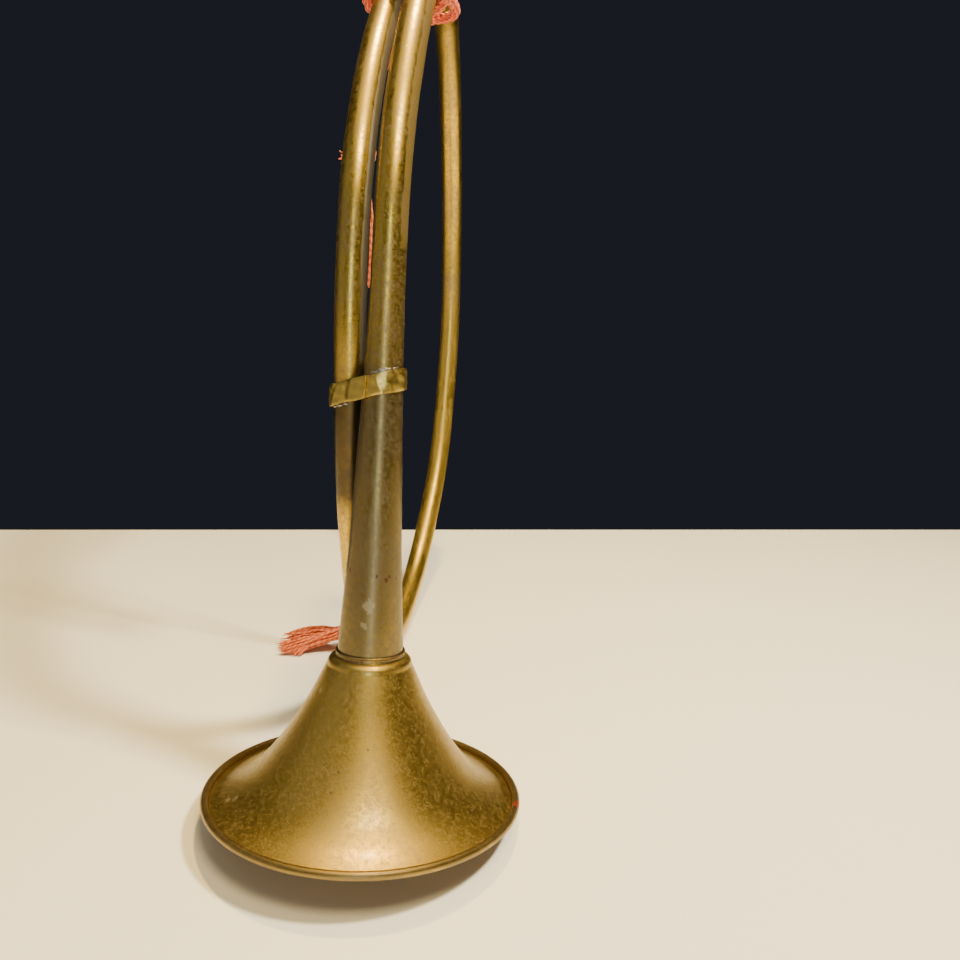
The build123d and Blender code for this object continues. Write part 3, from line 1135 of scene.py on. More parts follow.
@dataclass
class Tubes:
    """The tapered stem, the two bows of the coil and the mouthpipe.

    The stem is an outline of radius and height. The others are corners of bent centre lines.
    """

    wall: float = 0.5
    share: float = 0.43
    columns: int = 56
    step: float = 2.2
    stem_columns: int = 144
    stem_points: int = 160
    stem_dent: float = 0.12
    stem_dent_size: float = 26.0
    dent: float = 0.08
    dent_size: float = 30.0
    top_radius: float = 7.9
    bottom_radius: float = 7.65
    pipe_radius: float = 7.35
    stem: tuple = (
        (15.7, 60.0), (15.3, 72.0), (14.1, 92.0), (12.4, 120.0), (11.05, 150.0), (9.85, 178.0), (8.85, 204.0),
        (8.15, 230.0), (7.9, 255.0),
    )
    top_bow: tuple = (
        (0, 0, 255), (0, 0, 303), (0, 40, 379), (-1, 99, 430), (-6, 173, 445), (-9, 249, 414),
        (-10, 309, 341), (-9.5, 323, 290.5),
    )
    bottom_bow: tuple = (
        (-9.5, 323, 290.5), (-9, 337, 240), (-11, 326, 134), (-18, 277, 55), (-20.5, 195, 20), (-20, 112, 32),
        (-19, 83.5, 55),
    )
    mouthpipe: tuple = (
        (-19, 83.5, 55), (-18, 55, 78), (-17, 15, 150), (-17, 0, 236), (-17, 2, 296), (-18, 30, 350),
        (-18.5, 78, 408), (-18.5, 125, 462),
    )

    def stem_skin(self) -> Skin:
        """The stem: its outline turned about Z, with shallow dents that fade out at both ends.

        Returns:
            The skin.
        """
        outside = smooth_through(np.array(self.stem), self.stem_points)
        inside = outside[::-1] - np.array([self.wall, 0.0])
        outline = np.concatenate([outside, inside])
        fade = ease((outline[:, 1] - 74.0) / 12.0) * ease((250.0 - outline[:, 1]) / 20.0)
        return spun_skin(outline, self.stem_columns, self.stem_dent * fade, 8, self.stem_dent_size)

    def tube_skin(self, corners: tuple, radius: float, seed: int) -> Skin:
        """A thin round tube along its bent line, with shallow dents that fade out over its first few rings.

        Args:
            corners: The corners of its centre line, in the bell frame.
            radius: Its outside.
            seed: Which waves it gets.

        Returns:
            The skin: outside along the line, then inside back again.
        """
        line = to_row(bent_line(corners, self.share, self.step))
        ring = circle(1.0, self.columns)
        outer = carried(line, ring * radius, X_AXIS)
        ends = ease(np.minimum(np.arange(len(line)), np.arange(len(line))[::-1]) / 6.0)
        outward = unit(outer - line[:, None])
        outer = outer + (self.dent * ends[:, None] * waves(outer, seed, self.dent_size))[..., None] * outward
        inner = carried(line, ring * (radius - self.wall), X_AXIS)
        return grid_skin(np.concatenate([outer, inner[::-1]]), loop=True).outward()

    def build(self, looks: Finishes) -> None:
        """Make the four tubes.

        Args:
            looks: The finishes.
        """
        stem = piece("stem_skin", self.stem_skin(), looks.stem)
        dress(stem, Body.HORN, "tube_brass", "bell_stem")
        runs = (
            ("top_bow", self.top_bow, self.top_radius, looks.coil, 11),
            ("bottom_bow", self.bottom_bow, self.bottom_radius, looks.back, 12),
            ("mouthpipe", self.mouthpipe, self.pipe_radius, looks.pipe, 13),
        )
        for node, corners, radius, material, seed in runs:
            tube = piece(f"{node}_skin", self.tube_skin(corners, radius, seed), material)
            dress(tube, Body.HORN, "tube_brass", node)


@dataclass
class Mouth:
    """The receiver on the mouthpipe's end, and the mouthpiece in it: outlines of radius and height."""

    end: Point = (-18.5, 125.0, 462.0)
    before: Point = (-18.5, 78.0, 408.0)
    receiver: tuple = (
        (4.85, -10), (6.8, -10), (6.8, 0.05), (9.2, 0.05), (9.75, 1.2), (9.2, 2.4), (8.2, 2.8), (7.4, 22.0),
        (8.3, 22.8), (8.65, 24.4), (8.0, 26.0), (4.85, 26.0),
    )
    shank: tuple = (
        (2.6, 4.0), (4.8, 4.0), (4.8, 26.3), (6.2, 26.3), (6.4, 29.3), (5.2, 32.3), (5.6, 42.0), (7.4, 49.0),
        (10.4, 56.0), (11.2, 62.0), (12.6, 64.4), (13.2, 66.4), (12.4, 67.8), (11.0, 68.0), (9.4, 67.2),
        (8.6, 65.0), (7.6, 60.0), (5.2, 55.0), (2.0, 51.0), (1.9, 44.0),
    )
    receiver_columns: int = 112
    mouthpiece_columns: int = 144

    def build(self, looks: Finishes) -> None:
        """Make both, turned about the mouthpipe's end direction.

        Args:
            looks: The finishes.
        """
        axis = leaned(np.array(self.end) - np.array(self.before))
        origin = to_row(np.array(self.end))
        socket = turned(eased(np.array(self.receiver)), origin, axis, self.receiver_columns)
        dress(piece("receiver_skin", socket, looks.pipe), Body.HORN, "tube_brass", "mouthpiece_receiver")
        cup = turned(eased(np.array(self.shank), 4), origin, axis, self.mouthpiece_columns)
        dress(piece("mouthpiece_skin", cup, looks.mouth), Body.MOUTHPIECE, "mouthpiece_brass", "mouthpiece")


def belt(first: Array, second: Array, radius_a: float, radius_b: float, steps: int = 48) -> Array:
    """A closed belt round two circles, once round and anticlockwise, from the far side of the first.

    Each arc runs over the angles at which its own circle holds the belt, and straight lines join them.

    Args:
        first: Centre of the first circle.
        second: Centre of the second circle.
        radius_a: The belt's radius round the first.
        radius_b: The belt's radius round the second.
        steps: Points in each arc.

    Returns:
        Points of the belt, the first repeated at the end.
    """
    span = second - first
    heading = math.atan2(span[1], span[0])
    tip = math.acos((radius_a - radius_b) / float(np.linalg.norm(span)))
    angle_a = np.linspace(math.pi, 2.0 * math.pi - tip, steps) + heading
    angle_b = np.linspace(-tip, tip, 2 * steps) + heading
    angle_c = np.linspace(tip, math.pi, steps) + heading
    arcs = [(first, radius_a, angle_a), (second, radius_b, angle_b), (first, radius_a, angle_c)]
    return np.concatenate([c + r * np.stack([np.cos(a), np.sin(a)], axis=1) for c, r, a in arcs])


@dataclass
class Strap:
    """The brass strip bent round stem and mouthpipe, its lapped end, and the solder beside it.

    A ridge is its place along the strip, its half width, its height and how far it slants. A lump is the x
    it stands at, whether it is above the strip, and its half sizes. The loose lump stands by itself on the
    back of the stem, in the row frame.
    """

    height: float = 196.0
    width: float = 10.0
    thick: float = 0.8
    slant: float = math.radians(15.0)
    pipe: tuple[float, float] = (-17.0, 7.8)
    pipe_radius: float = 8.45
    stem_radius: float = 9.6
    stem_surface: float = 9.15
    pipe_surface: float = 7.4
    lap: float = 7.0
    seam_x: float = -11.5
    path_points: int = 601
    across_points: int = 15
    ridges: tuple = (
        (1.5, 0.9, 0.35, 0.6), (5.5, 1.6, -0.3, -0.5), (12.0, 1.3, 0.28, 0.4), (20.0, 2.2, -0.25, 0.2),
        (31.0, 1.8, 0.3, -0.3), (48.0, 2.5, 0.2, 0.4), (66.0, 1.6, 0.3, 0.5), (80.0, 1.3, -0.3, -0.6),
        (90.0, 1.8, 0.3, 0.3),
    )
    lumps: tuple = (
        (-2.5, True, (2.0, 0.5, 0.9)), (0.8, True, (2.4, 0.65, 1.5)), (3.8, True, (2.2, 0.6, 1.1)),
        (6.8, True, (1.9, 0.55, 0.9)), (-22.6, False, (1.7, 0.6, 0.8)), (-20.2, False, (2.0, 0.6, 0.9)),
        (-17.6, False, (1.6, 0.5, 0.7)),
    )
    loose_lump: Point = (-9.4, -109.5, 216.0)

    def path(self) -> Array:
        """The strip's inner line in its own plane: a belt from the front seam, once round and a lap more.

        Returns:
            The line's points, in millimetres.
        """
        loop = belt(np.zeros(2), np.array(self.pipe), self.stem_radius, self.pipe_radius)
        loop = spaced(loop, self.path_points)[:-1]
        front = np.where(loop[:, 1] < 0.5 * self.pipe[1], np.abs(loop[:, 0] - self.seam_x), np.inf)
        opened = np.roll(loop, -int(np.argmin(front)), axis=0)
        step = float(np.linalg.norm(opened[1] - opened[0]))
        return np.concatenate([opened, opened[: int(self.lap / step)]])

    def creases(self, along: Array, across: Array) -> Array:
        """How far the strip bulges: slanting ridges at a few places along it, and a light hammering.

        Args:
            along: Places along the strip.
            across: Places across it.

        Returns:
            The bulge at each place, which is never below -0.05 mm.
        """
        bulge = sum(h * np.exp(-(((along + s * across - at) / w) ** 2)) for at, w, h, s in self.ridges)
        hammered = 0.09 * np.sin(along * 0.9 + across * 0.5) * np.sin(across * 0.8 - along * 0.35 + 1.0)
        return np.maximum(bulge + hammered, -0.25) + 0.2

    def skin(self) -> Skin:
        """The strip: a flat section carried along its path, lifted by one thickness where it laps.

        A point is path + (bulge + depth)*outward + across*width direction, for depth 0 or one thickness.
        The section's edges are rounded by 0.14 mm, and the strip's two edges wander by 0.22 mm.

        Returns:
            The skin.
        """
        path = self.path()
        along = run_lengths(path)
        direction = unit(np.gradient(path, axis=0))
        outward = np.stack([direction[:, 1], -direction[:, 0]], axis=1)
        lift = (self.thick + 0.05) * ease((along - along[-1] + self.lap + 5.0) / 4.0)
        across = np.linspace(-0.5, 0.5, self.across_points) * self.width
        columns = np.concatenate([across, across[::-1]])
        depth = np.repeat([self.thick, 0.0], self.across_points)
        depth = depth + np.where(np.abs(columns) > 4.9, np.where(depth > 0, -0.14, 0.14), 0.0)
        out = lift[:, None] + depth + self.creases(along[:, None], columns[None])
        edge = 0.22 * np.sin(along[:, None] * 0.33 + 1.0) * np.sign(columns)[None] * (np.abs(columns) > 4.0)
        flat = path[:, None] + out[..., None] * outward[:, None]
        rise = self.height + flat[..., :1] * math.tan(self.slant) + (columns[None] + edge)[..., None]
        return grid_skin(to_row(np.concatenate([flat, rise], axis=-1))).outward()

    def lump(self, x: float, above: bool, half: Point, seed: int) -> Skin:
        """A lump of solder over the strip's upper edge on the stem, or under its lower one on the mouthpipe.

        It stands on the tube's front: y is the tube's centre less the root of r squared - x squared.

        Args:
            x: Its place across the horn, in the bell frame.
            above: Whether it is over the strip.
            half: Its half sizes.
            seed: Which waves it gets.

        Returns:
            The skin.
        """
        centre_x, centre_y = (0.0, 0.0) if above else self.pipe
        radius = self.stem_surface if above else self.pipe_surface
        across = (x - centre_x) / radius
        normal = np.array([across, -math.sqrt(1.0 - across * across), 0.0])
        edge = (0.5 * self.width + 0.3) * (1.0 if above else -1.0)
        z = self.height + x * math.tan(self.slant) + edge
        spot = np.array([centre_x, centre_y, 0.0]) + radius * normal + z * Z_AXIS
        return blob(tuple(to_row(spot)), half, tuple(leaned(normal)), seed)

    def build(self, looks: Finishes) -> None:
        """Make the strip and the solder.

        Args:
            looks: The finishes.
        """
        dress(piece("strap_skin", self.skin(), looks.strap), Body.HORN, "strap_brass", "strap_band")
        solder = [self.lump(x, above, half, seed) for seed, (x, above, half) in enumerate(self.lumps, 1)]
        solder.append(blob(self.loose_lump, (1.6, 1.8, 4.0), (0.0, 1.0, 0.1), len(self.lumps) + 1))
        made = piece("solder_skin", Skin.joined(solder), looks.solder)
        dress(made, Body.HORN, "solder", "strap_solder")


def blob(centre: Point, half: Point, normal: Point, seed: int) -> Skin:
    """A lump of solder: an ellipsoid whose radius swells by slow waves, flat against its normal.

    Args:
        centre: Its middle, in row-frame millimetres.
        half: Its half sizes across, along the normal, and up.
        normal: The outward direction of the metal under it.
        seed: Which waves it gets.

    Returns:
        The skin.
    """
    out = unit(np.array(normal))
    across = unit(np.cross(out, Z_AXIS))
    up = np.cross(across, out)
    polar = np.linspace(0.02, np.pi - 0.02, 22)[:, None]
    angle = round_angles(36)[None]
    level = np.sin(polar)
    ball = np.stack([level * np.cos(angle), level * np.sin(angle), np.cos(polar) + 0.0 * angle], -1)
    swell = 1.0 + 0.22 * waves(ball * 3.0, seed, 5.0)
    scaled = ball * swell[..., None] * np.array(half)
    placed = scaled[..., :1] * across + scaled[..., 1:2] * out + scaled[..., 2:] * up
    return grid_skin(np.array(centre) + placed).outward()


# ---------------------------------------------------------------- the cord


def rope_skin(
    line: Array, radius: float, lay: float, reference: Array, strands: int = 3, sides: int = 14
) -> Skin:
    """A laid rope: strands that wind round a line and touch each other.

    A strand's middle is line + c*(cos p * side + sin p * up), with p one turn for each lay of length,
    and its own section is a circle. Both are carried along by the same reference direction.

    Args:
        line: The rope's middle line, in millimetres.
        radius: The rope's radius.
        lay: The length of one turn.
        reference: A direction that the line never takes.
        strands: How many strands it has.
        sides: Corners of a strand's section.

    Returns:
        The skin of every strand.
    """
    fine = 0.5 * radius
    offset = radius - fine
    length = run_lengths(line)
    skins = []
    for k in range(strands):
        phase = FULL_TURN * (length / lay + k / strands)
        middle = offset * np.stack([np.cos(phase), np.sin(phase)], axis=1)
        centre = carried(line, middle[:, None], reference)[:, 0]
        skins.append(grid_skin(carried(centre, circle(fine, sides), reference)).outward())
    return Skin.joined(skins)


def yarns_skin(paths: Array, radius: Array, sides: int = 5) -> Skin:
    """Many thin yarns at once: a small ring carried along every path, closed to a point at both ends.

    Args:
        paths: The yarns' middle lines: yarn, place along, coordinate.
        radius: Each yarn's radius.
        sides: Corners of its section.

    Returns:
        The skin of all of them. In its UV map, V is the yarn's number plus the share of a turn.
    """
    count, places = paths.shape[:2]
    direction = unit(np.gradient(paths, axis=1))
    reference = unit(np.array([0.31, 0.93, 0.21]))
    side = unit(np.cross(reference, direction))
    up = np.cross(direction, side)
    taper = np.clip(np.minimum(np.arange(places), np.arange(places)[::-1]) * 0.5 + 0.35, 0.0, 1.0)
    angle = round_angles(sides)[:, None]
    size = (radius[:, None] * taper)[:, :, None, None]
    ring = spokes(angle, side[:, :, None], up[:, :, None])
    grid = paths[:, :, None] + size * ring
    ranges = np.arange(count), np.arange(places - 1), np.arange(sides)
    yarn, i, j = (a.ravel() for a in np.meshgrid(*ranges, indexing="ij"))
    right = (j + 1) % sides
    base = yarn * places * sides
    near, far = base + i * sides, base + (i + 1) * sides
    quads = np.stack([near + j, near + right, far + right, far + j], axis=1)
    steps = np.linalg.norm(np.diff(paths, axis=1), axis=2)
    u = np.concatenate([np.zeros((count, 1)), np.cumsum(steps, axis=1)], axis=1) * MM
    corners = [(i, j), (i, j + 1), (i + 1, j + 1), (i + 1, j)]
    quad_uv = np.stack([np.stack([u[yarn, a], yarn + b / sides], axis=1) for a, b in corners], axis=1)
    tips = np.concatenate([paths[:, 0], paths[:, -1]])
    first = np.arange(count)[:, None] * places * sides
    ring_at = np.arange(sides)[None]
    turn_at = (ring_at + 1) % sides
    low = count * places * sides + np.arange(count)[:, None] + 0 * ring_at
    high = low + count
    last = first + (places - 1) * sides
    low_fans = np.stack([low, first + turn_at, first + ring_at], axis=2)
    high_fans = np.stack([high, last + ring_at, last + turn_at], axis=2)
    fans = np.concatenate([low_fans, high_fans]).reshape(-1, 3)
    points = np.concatenate([grid.reshape(-1, 3), tips])
    return Skin(points, quads, quad_uv, fans, np.zeros((len(fans), 3, 2))).outward()


def spline_points(name: str, points: tuple) -> Array:
    """The line of a cord: a smooth spline whose control points are the cord's route.

    Args:
        name: A name for the curve while it is read.
        points: The route, in row-frame millimetres.

    Returns:
        Points along the spline, in millimetres.
    """
    data = bpy.data.curves.new(name, "CURVE")
    data.dimensions = "3D"
    data.resolution_u = 24
    spline = data.splines.new("NURBS")
    spline.points.add(len(points) - 1)
    spline.points.foreach_set("co", [c for x, y, z in points for c in (x * MM, y * MM, z * MM, 1.0)])
    spline.order_u = 3
    spline.use_endpoint_u = True
    holder = bpy.data.objects.new(name, data)
    bpy.context.scene.collection.objects.link(holder)
    read = bpy.data.meshes.new_from_object(holder)
    line = np.zeros(3 * len(read.vertices))
    read.vertices.foreach_get("co", line)
    bpy.data.objects.remove(holder)
    bpy.data.curves.remove(data)
    return line.reshape(-1, 3) / MM


@dataclass
class Cord:
    """The dyed cord: wound round both tubes, knotted behind them, with two hanging ends and a drooping bight.

    The routes and centres are in the row frame. The winding goes round the two tubes' places in its own
    plane, at its clearance, and lies within a half length each way along its axis.
    """

    radius: float = 2.75
    lay: float = 11.0
    step: float = 0.9
    short: tuple = (
        (-14.5, -17, 378.5), (-22.5, -19, 373), (-28.5, -20.5, 363), (-32.2, -21.6, 350), (-33.9, -22.2, 336),
        (-33.5, -22, 323),
    )
    long: tuple = (
        (-13.5, -10, 377.5), (-25, -7, 366), (-32, -4, 341), (-35, -3, 290), (-39, 0, 225), (-41, 3, 160),
        (-45, 7, 98), (-44.5, 13, 62), (-40, 17.5, 45), (-35, 19.5, 33),
    )
    bight: tuple = (
        (10.8, -40.5, 392), (13.8, -33, 387.5), (15.2, -22, 386), (11, -12, 385.5), (1.5, -9.5, 385),
        (-5, -12, 383),
    )
    knot: Point = (-9.3, -13.5, 383.0)
    knot_radius: float = 7.0
    knot_points: int = 240
    knot_lays: float = 10.0
    knot_strand: float = 1.3
    knot_offset: float = 1.25
    wrap_centre: Point = (-9.3, -29.5, 394.5)
    wrap_axis: Point = (0.0, 0.78, 0.626)
    wrap_top_tube: tuple[float, float] = (8.85, -2.3)
    wrap_pipe: tuple[float, float] = (-9.05, 3.2)
    wrap_clear: float = 9.1
    wrap_turns: float = 3.3
    wrap_start: float = 0.06
    wrap_half: float = 11.0
    wrap_points: int = 1400

    def free_cord(self, name: str, route: tuple, reference: Array, looks: Finishes) -> tuple:
        """A rope along a route.

        Args:
            name: The piece's name.
            route: Its route.
            reference: A direction that it never takes.
            looks: The finishes.

        Returns:
            The piece, and its middle line in metres.
        """
        line = spline_points(name + "_line", route)
        line = spaced(line, int(run_lengths(line)[-1] / self.step) + 2)
        made = piece(name, rope_skin(line, self.radius, self.lay, reference), looks.yarn)
        return made, line * MM

    def wound_skin(self) -> Skin:
        """The winding: a belt line round both tubes that climbs along their direction as it goes round.

        Four rounds are laid out evenly, and the winding is the share of them that it has turns for.

        Returns:
            The skin.
        """
        radius = self.wrap_clear + self.radius
        rounds = 4
        loop = belt(np.array(self.wrap_pipe), np.array(self.wrap_top_tube), radius, radius)
        flat = np.concatenate([loop[:-1]] * rounds + [loop[:1]])
        flat = spaced(flat, self.wrap_points)
        stop = self.wrap_start + self.wrap_turns / rounds
        flat = flat[int(self.wrap_start * self.wrap_points) : int(stop * self.wrap_points)]
        climb = np.linspace(-1.0, 1.0, len(flat)) * (self.wrap_half - self.radius)
        axis = unit(np.array(self.wrap_axis))
        upward = np.cross(axis, X_AXIS)
        around = flat[:, :1] * X_AXIS + flat[:, 1:] * upward
        line = np.array(self.wrap_centre) + around + climb[:, None] * axis
        return rope_skin(line, self.radius * 0.98, self.lay, axis)

    def knot_skin(self) -> Skin:
        """The knot: a laid cord on a closed trefoil, (sin t + 2 sin 2t, cos t - 2 cos 2t, -1.6 sin 3t).

        Returns:
            The skin.
        """
        t = round_angles(self.knot_points)
        x = np.sin(t) + 2.0 * np.sin(2 * t)
        y = np.cos(t) - 2.0 * np.cos(2 * t)
        trefoil = np.stack([x, y, -1.6 * np.sin(3 * t)], 1)
        line = np.array(self.knot) + trefoil * (self.knot_radius - 2.5) / 3.0
        direction = unit(np.roll(line, -1, axis=0) - np.roll(line, 1, axis=0))
        side = unit(np.cross(unit(np.array([0.2, 0.3, 1.0])), direction))
        up = np.cross(direction, side)
        ring = circle(self.knot_strand, 12)
        skins = []
        for k in range(3):
            phase = self.knot_lays * t[:, None] + FULL_TURN * k / 3
            centre = line + self.knot_offset * spokes(phase, side, up)
            grid = centre[:, None] + ring[None, :, :1] * side[:, None] + ring[None, :, 1:] * up[:, None]
            skins.append(grid_skin(grid, loop=True).outward())
        return Skin.joined(skins)

    def build(self, looks: Finishes, hanging: list, resting: list) -> None:
        """Args:
            looks: The finishes.
            hanging: The pieces of the tassel on the short end. Not used.
            resting: The pieces of the tassel on the long end. Not used.
        """
        wound = piece("cord_winding", self.wound_skin(), looks.yarn)
        dress(wound, Body.HORN, "cord", "cord_wrap")
        dress(piece("knot_skin", self.knot_skin(), looks.yarn), Body.HORN, "cord", "cord_knot")
        stretches = (
            ("short_end", self.short, Y_AXIS, "knot", "hanging", hanging, "cord_short"),
            ("long_end", self.long, Y_AXIS, "knot", "hanging", resting, "cord_long"),
            ("bight", self.bight, Z_AXIS, "object", "loose", [], "cord_bight"),
        )
        for name, route, reference, far, lay, pieces, node in stretches:
            made, line = self.free_cord(name, route, reference, looks)
            dress(made, Body.HORN, "cord", node)


@dataclass
class Tassel:
    """A tassel: a woven knob, the thread bound round its neck, and a skirt of loose yarns."""

    name: str
    top: Point
    axis: Point
    head_length: float = 16.0
    head_radius: float = 8.0
    plaits: int = 9
    plait_turns: float = 2.6
    neck_drop: float = 1.6
    neck_radius: float = 5.75
    neck_length: float = 2.6
    binding_turns: float = 4.0
    binding_radius: float = 0.62
    seed: int = 3

    def neck(self) -> Array:
        """The middle of the neck."""
        return np.array(self.top) + unit(np.array(self.axis)) * (self.head_length + self.neck_drop)

    def directions(self) -> tuple[Array, Array, Array]:
        """The tassel's axis and two directions square to it.

        Returns:
            The three directions, each of length one.
        """
        axis = unit(np.array(self.axis, float))
        side = unit(np.cross(Y_AXIS, axis))
        return axis, side, np.cross(axis, side)

    def head_skin(self) -> Skin:
        """The woven knob: a barrel whose radius swells where slanting plaits cross over each other.

        Its radius is barrel*(0.92 + 0.075*p), where p is the larger of sin(n*t + c*h) and sin(n*t - c*h), for
        the turn t, the height h, n plaits, and c as their climb. The barrel is a power of a sine.

        Returns:
            The skin.
        """
        axis, side, up = self.directions()
        height = np.linspace(0.0, 1.0, 60)
        barrel = self.head_radius * (np.sin(np.pi * (0.09 + 0.80 * height)) ** 0.62)
        angle = round_angles(120)
        climb = self.plait_turns * FULL_TURN * height[:, None]
        plait = np.maximum(np.sin(self.plaits * angle + climb), np.sin(self.plaits * angle - climb))
        radius = barrel[:, None] * (0.92 + 0.075 * plait)
        spoke = spokes(angle[:, None], side, up)
        middle = np.array(self.top) + (height * self.head_length)[:, None, None] * axis
        return grid_skin(middle + radius[..., None] * spoke).outward()

    def binding_skin(self) -> Skin:
        """The binding: a thin cord wound a few times round the neck.

        Returns:
            The skin.
        """
        axis, side, up = self.directions()
        t = np.linspace(0.0, 1.0, 260)[:, None]
        angle = self.binding_turns * FULL_TURN * t
        middle = self.neck() + (t - 0.5) * self.neck_length * axis
        line = middle + self.neck_radius * spokes(angle, side, up)
        return grid_skin(carried(line, circle(self.binding_radius, 8), axis)).outward()

    def build(self, looks: Finishes, skirt: Skin) -> list:
        """Make the three pieces.

        Args:
            looks: The finishes.
            skirt: The loose yarns.

        Returns:
            The pieces.
        """
        made = [
            piece(f"{self.name}_tassel_knob", self.head_skin(), looks.yarn),
            piece(f"{self.name}_tassel_thread", self.binding_skin(), looks.thread),
            piece(f"{self.name}_tassel_yarns", skirt, looks.thread),
        ]
        for part, node, slot in zip(made, ("head", "binding", "skirt"), ("cord", "cord", "tassel")):
            dress(part, Body.HORN, slot, f"{self.name}_tassel_{node}")
        return made


@dataclass
class HangingTassel(Tassel):
    """The tassel that hangs free, with frayed ends that stand out sideways from its head."""

    name: str = "hanging"
    top: Point = (-33.5, -22.0, 323.0)
    axis: Point = (0.0, 0.0, -1.0)
    skirt_length: float = 61.0
    yarns: int = 130
    frayed: int = 26
    frayed_radius: float = 0.42

    def tuft(self, rng: np.random.Generator) -> Array:
        """The frayed ends, as middle lines: each runs straight out from the head and curls by a slow sine.

        Args:
            rng: Where the random draws come from.

        Returns:
            The lines: yarn, place along, coordinate.
        """
        count, places = self.frayed, 8
        start = np.array(self.top) + unit(np.array(self.axis)) * rng.uniform(10.5, 16.0, (count, 1))
        aim = unit(np.array([-1.0, -0.25, 0.1]) + rng.normal(0.0, 0.32, (count, 3)))
        reach = rng.uniform(9.0, 12.0, (count, 1, 1))
        t = np.linspace(0.25, 1.0, places)[None, :, None]
        curl = 1.3 * np.sin(t * 5.0 + rng.uniform(0.0, ANY_PHASE, (count, 1, 3))) * t
        return start[:, None] + reach * t * aim[:, None] + curl

    def skirt(self) -> Skin:
        """The skirt: yarns that start on the neck's disc, spread a little and wave as they fall.

        Returns:
            The skin of the skirt and of the frayed ends.
        """
        rng = np.random.default_rng(self.seed)
        axis, side, up = self.directions()
        places, each = 16, (self.yarns, 1, 1)
        t = np.linspace(0.0, 1.0, places)[None, :, None]
        ring = np.sqrt(rng.uniform(0.02, 1.0, each))
        angle = rng.uniform(0.0, FULL_TURN, each)
        reach = ring * (4.9 + 3.2 * ease(t * 1.5) - 0.5 * t)
        phase = t * rng.uniform(4.0, 11.0, each) + rng.uniform(0, ANY_PHASE, (self.yarns, 1, 3))
        wave = 0.9 * t * np.sin(phase)
        length = self.skirt_length * rng.uniform(0.88, 1.0, each)
        paths = self.neck() + 1.0 * axis + reach * spokes(angle, side, up) + wave + length * t * axis
        loose = yarns_skin(paths, rng.uniform(0.42, 0.62, self.yarns))
        frayed = yarns_skin(self.tuft(rng), np.full(self.frayed, self.frayed_radius))
        return Skin.joined([loose, frayed])


@dataclass
class RestingTassel(Tassel):
    """The tassel that rests on the floor with its yarns spread out."""

    name: str = "resting"
    top: Point = (-35.0, 19.5, 33.0)
    axis: Point = (-0.62, 0.08, -0.78)
    yarns: int = 190
    bundles: int = 22
    stray_bundles: int = 2
    seed: int = 9

    def skirt(self) -> Skin:
        """The skirt: each yarn is a cubic Bezier from the neck down to the floor, with a little wave.

        The yarns lie in bundles, which cross over each other: a bundle has its own fan, pile, reach and
        swing. The yarns of a few stray bundles lie flat and nearly together.

        Returns:
            The skin of the skirt.
        """
        rng = np.random.default_rng(self.seed)
        axis, side, up = self.directions()
        count, places = self.yarns, 22
        bundle = rng.integers(0, self.bundles, count)

        def shared(low: float, high: float, apart: float) -> Array:
            """An even draw for each bundle, plus a small normal one for each yarn."""
            return rng.uniform(low, high, self.bundles)[bundle] + rng.normal(0.0, apart, count)

        angle = shared(0.0, FULL_TURN, 0.35)[:, None]
        ring = np.sqrt(rng.uniform(0.05, 1.0, (count, 1)))
        start = self.neck() + 1.0 * axis + 4.6 * ring * spokes(angle, side, up)
        fan = rng.normal(0.0, 0.6, self.bundles)[bundle] + rng.normal(0.0, 0.16, count)
        fan = np.clip(fan, -1.0, 1.0)[:, None]
        pile = np.clip(shared(0.0, 1.0, 0.12), 0.0, 1.0)[:, None]
        reach = np.clip(shared(0.1, 1.0, 0.1), 0.0, 1.0)[:, None]
        tip_x = -83.0 - 14.0 * reach * (1.0 - 0.25 * np.abs(fan))
        tip_z = 1.0 + 8.5 * pile * (1.0 - 0.6 * np.abs(fan))
        tip = np.concatenate([tip_x, 23.0 + 15.5 * fan, tip_z], axis=1)
        stray_y = 8.0 + rng.normal(0.0, 1.0, (count, 1))
        stray_tip = np.concatenate([tip_x + 9.0, stray_y, 0.9 + 1.0 * pile], axis=1)
        tip = np.where(bundle[:, None] < self.stray_bundles, stray_tip, tip)
        swing = rng.normal(0.0, 3.0, self.bundles)[bundle][:, None]
        knee_x = np.full((count, 1), -66.0)
        knee = np.concatenate([knee_x, 22.0 + 10.0 * fan + swing, 0.9 + 21.0 * pile], axis=1)
        t = np.linspace(0.0, 1.0, places)[None, :, None]
        first, second = start[:, None], (start + 9.0 * axis)[:, None]
        third, last = knee[:, None], tip[:, None]
        s = 1 - t
        paths = s**3 * first + 3 * t * s**2 * second + 3 * t**2 * s * third + t**3 * last
        phase = rng.uniform(0.0, ANY_PHASE, (count, 1, 3))
        paths = paths + 0.7 * ease(t * 2.0) * np.sin(t * rng.uniform(5.0, 12.0, (count, 1, 1)) + phase)
        paths[..., 2] = np.maximum(paths[..., 2], 0.8)
        return yarns_skin(paths, rng.uniform(0.42, 0.64, count))


def dress(made: bpy.types.Object, body: Body, slot: str, *nodes: str) -> bpy.types.Object:
    """Let a piece ride on its body and stand for its nodes.

    Args:
        made: The piece's object.
        body: The body that it rides on.
        slot: Its material slot. Not used.
        nodes: The nodes that it stands for.

    Returns:
        The object.
    """
    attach(made, body.value)
    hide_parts(*nodes)
    LOG.info("%s: %d faces", made.name, len(made.data.polygons))
    return made


# ---------------------------------------------------------------- the studio


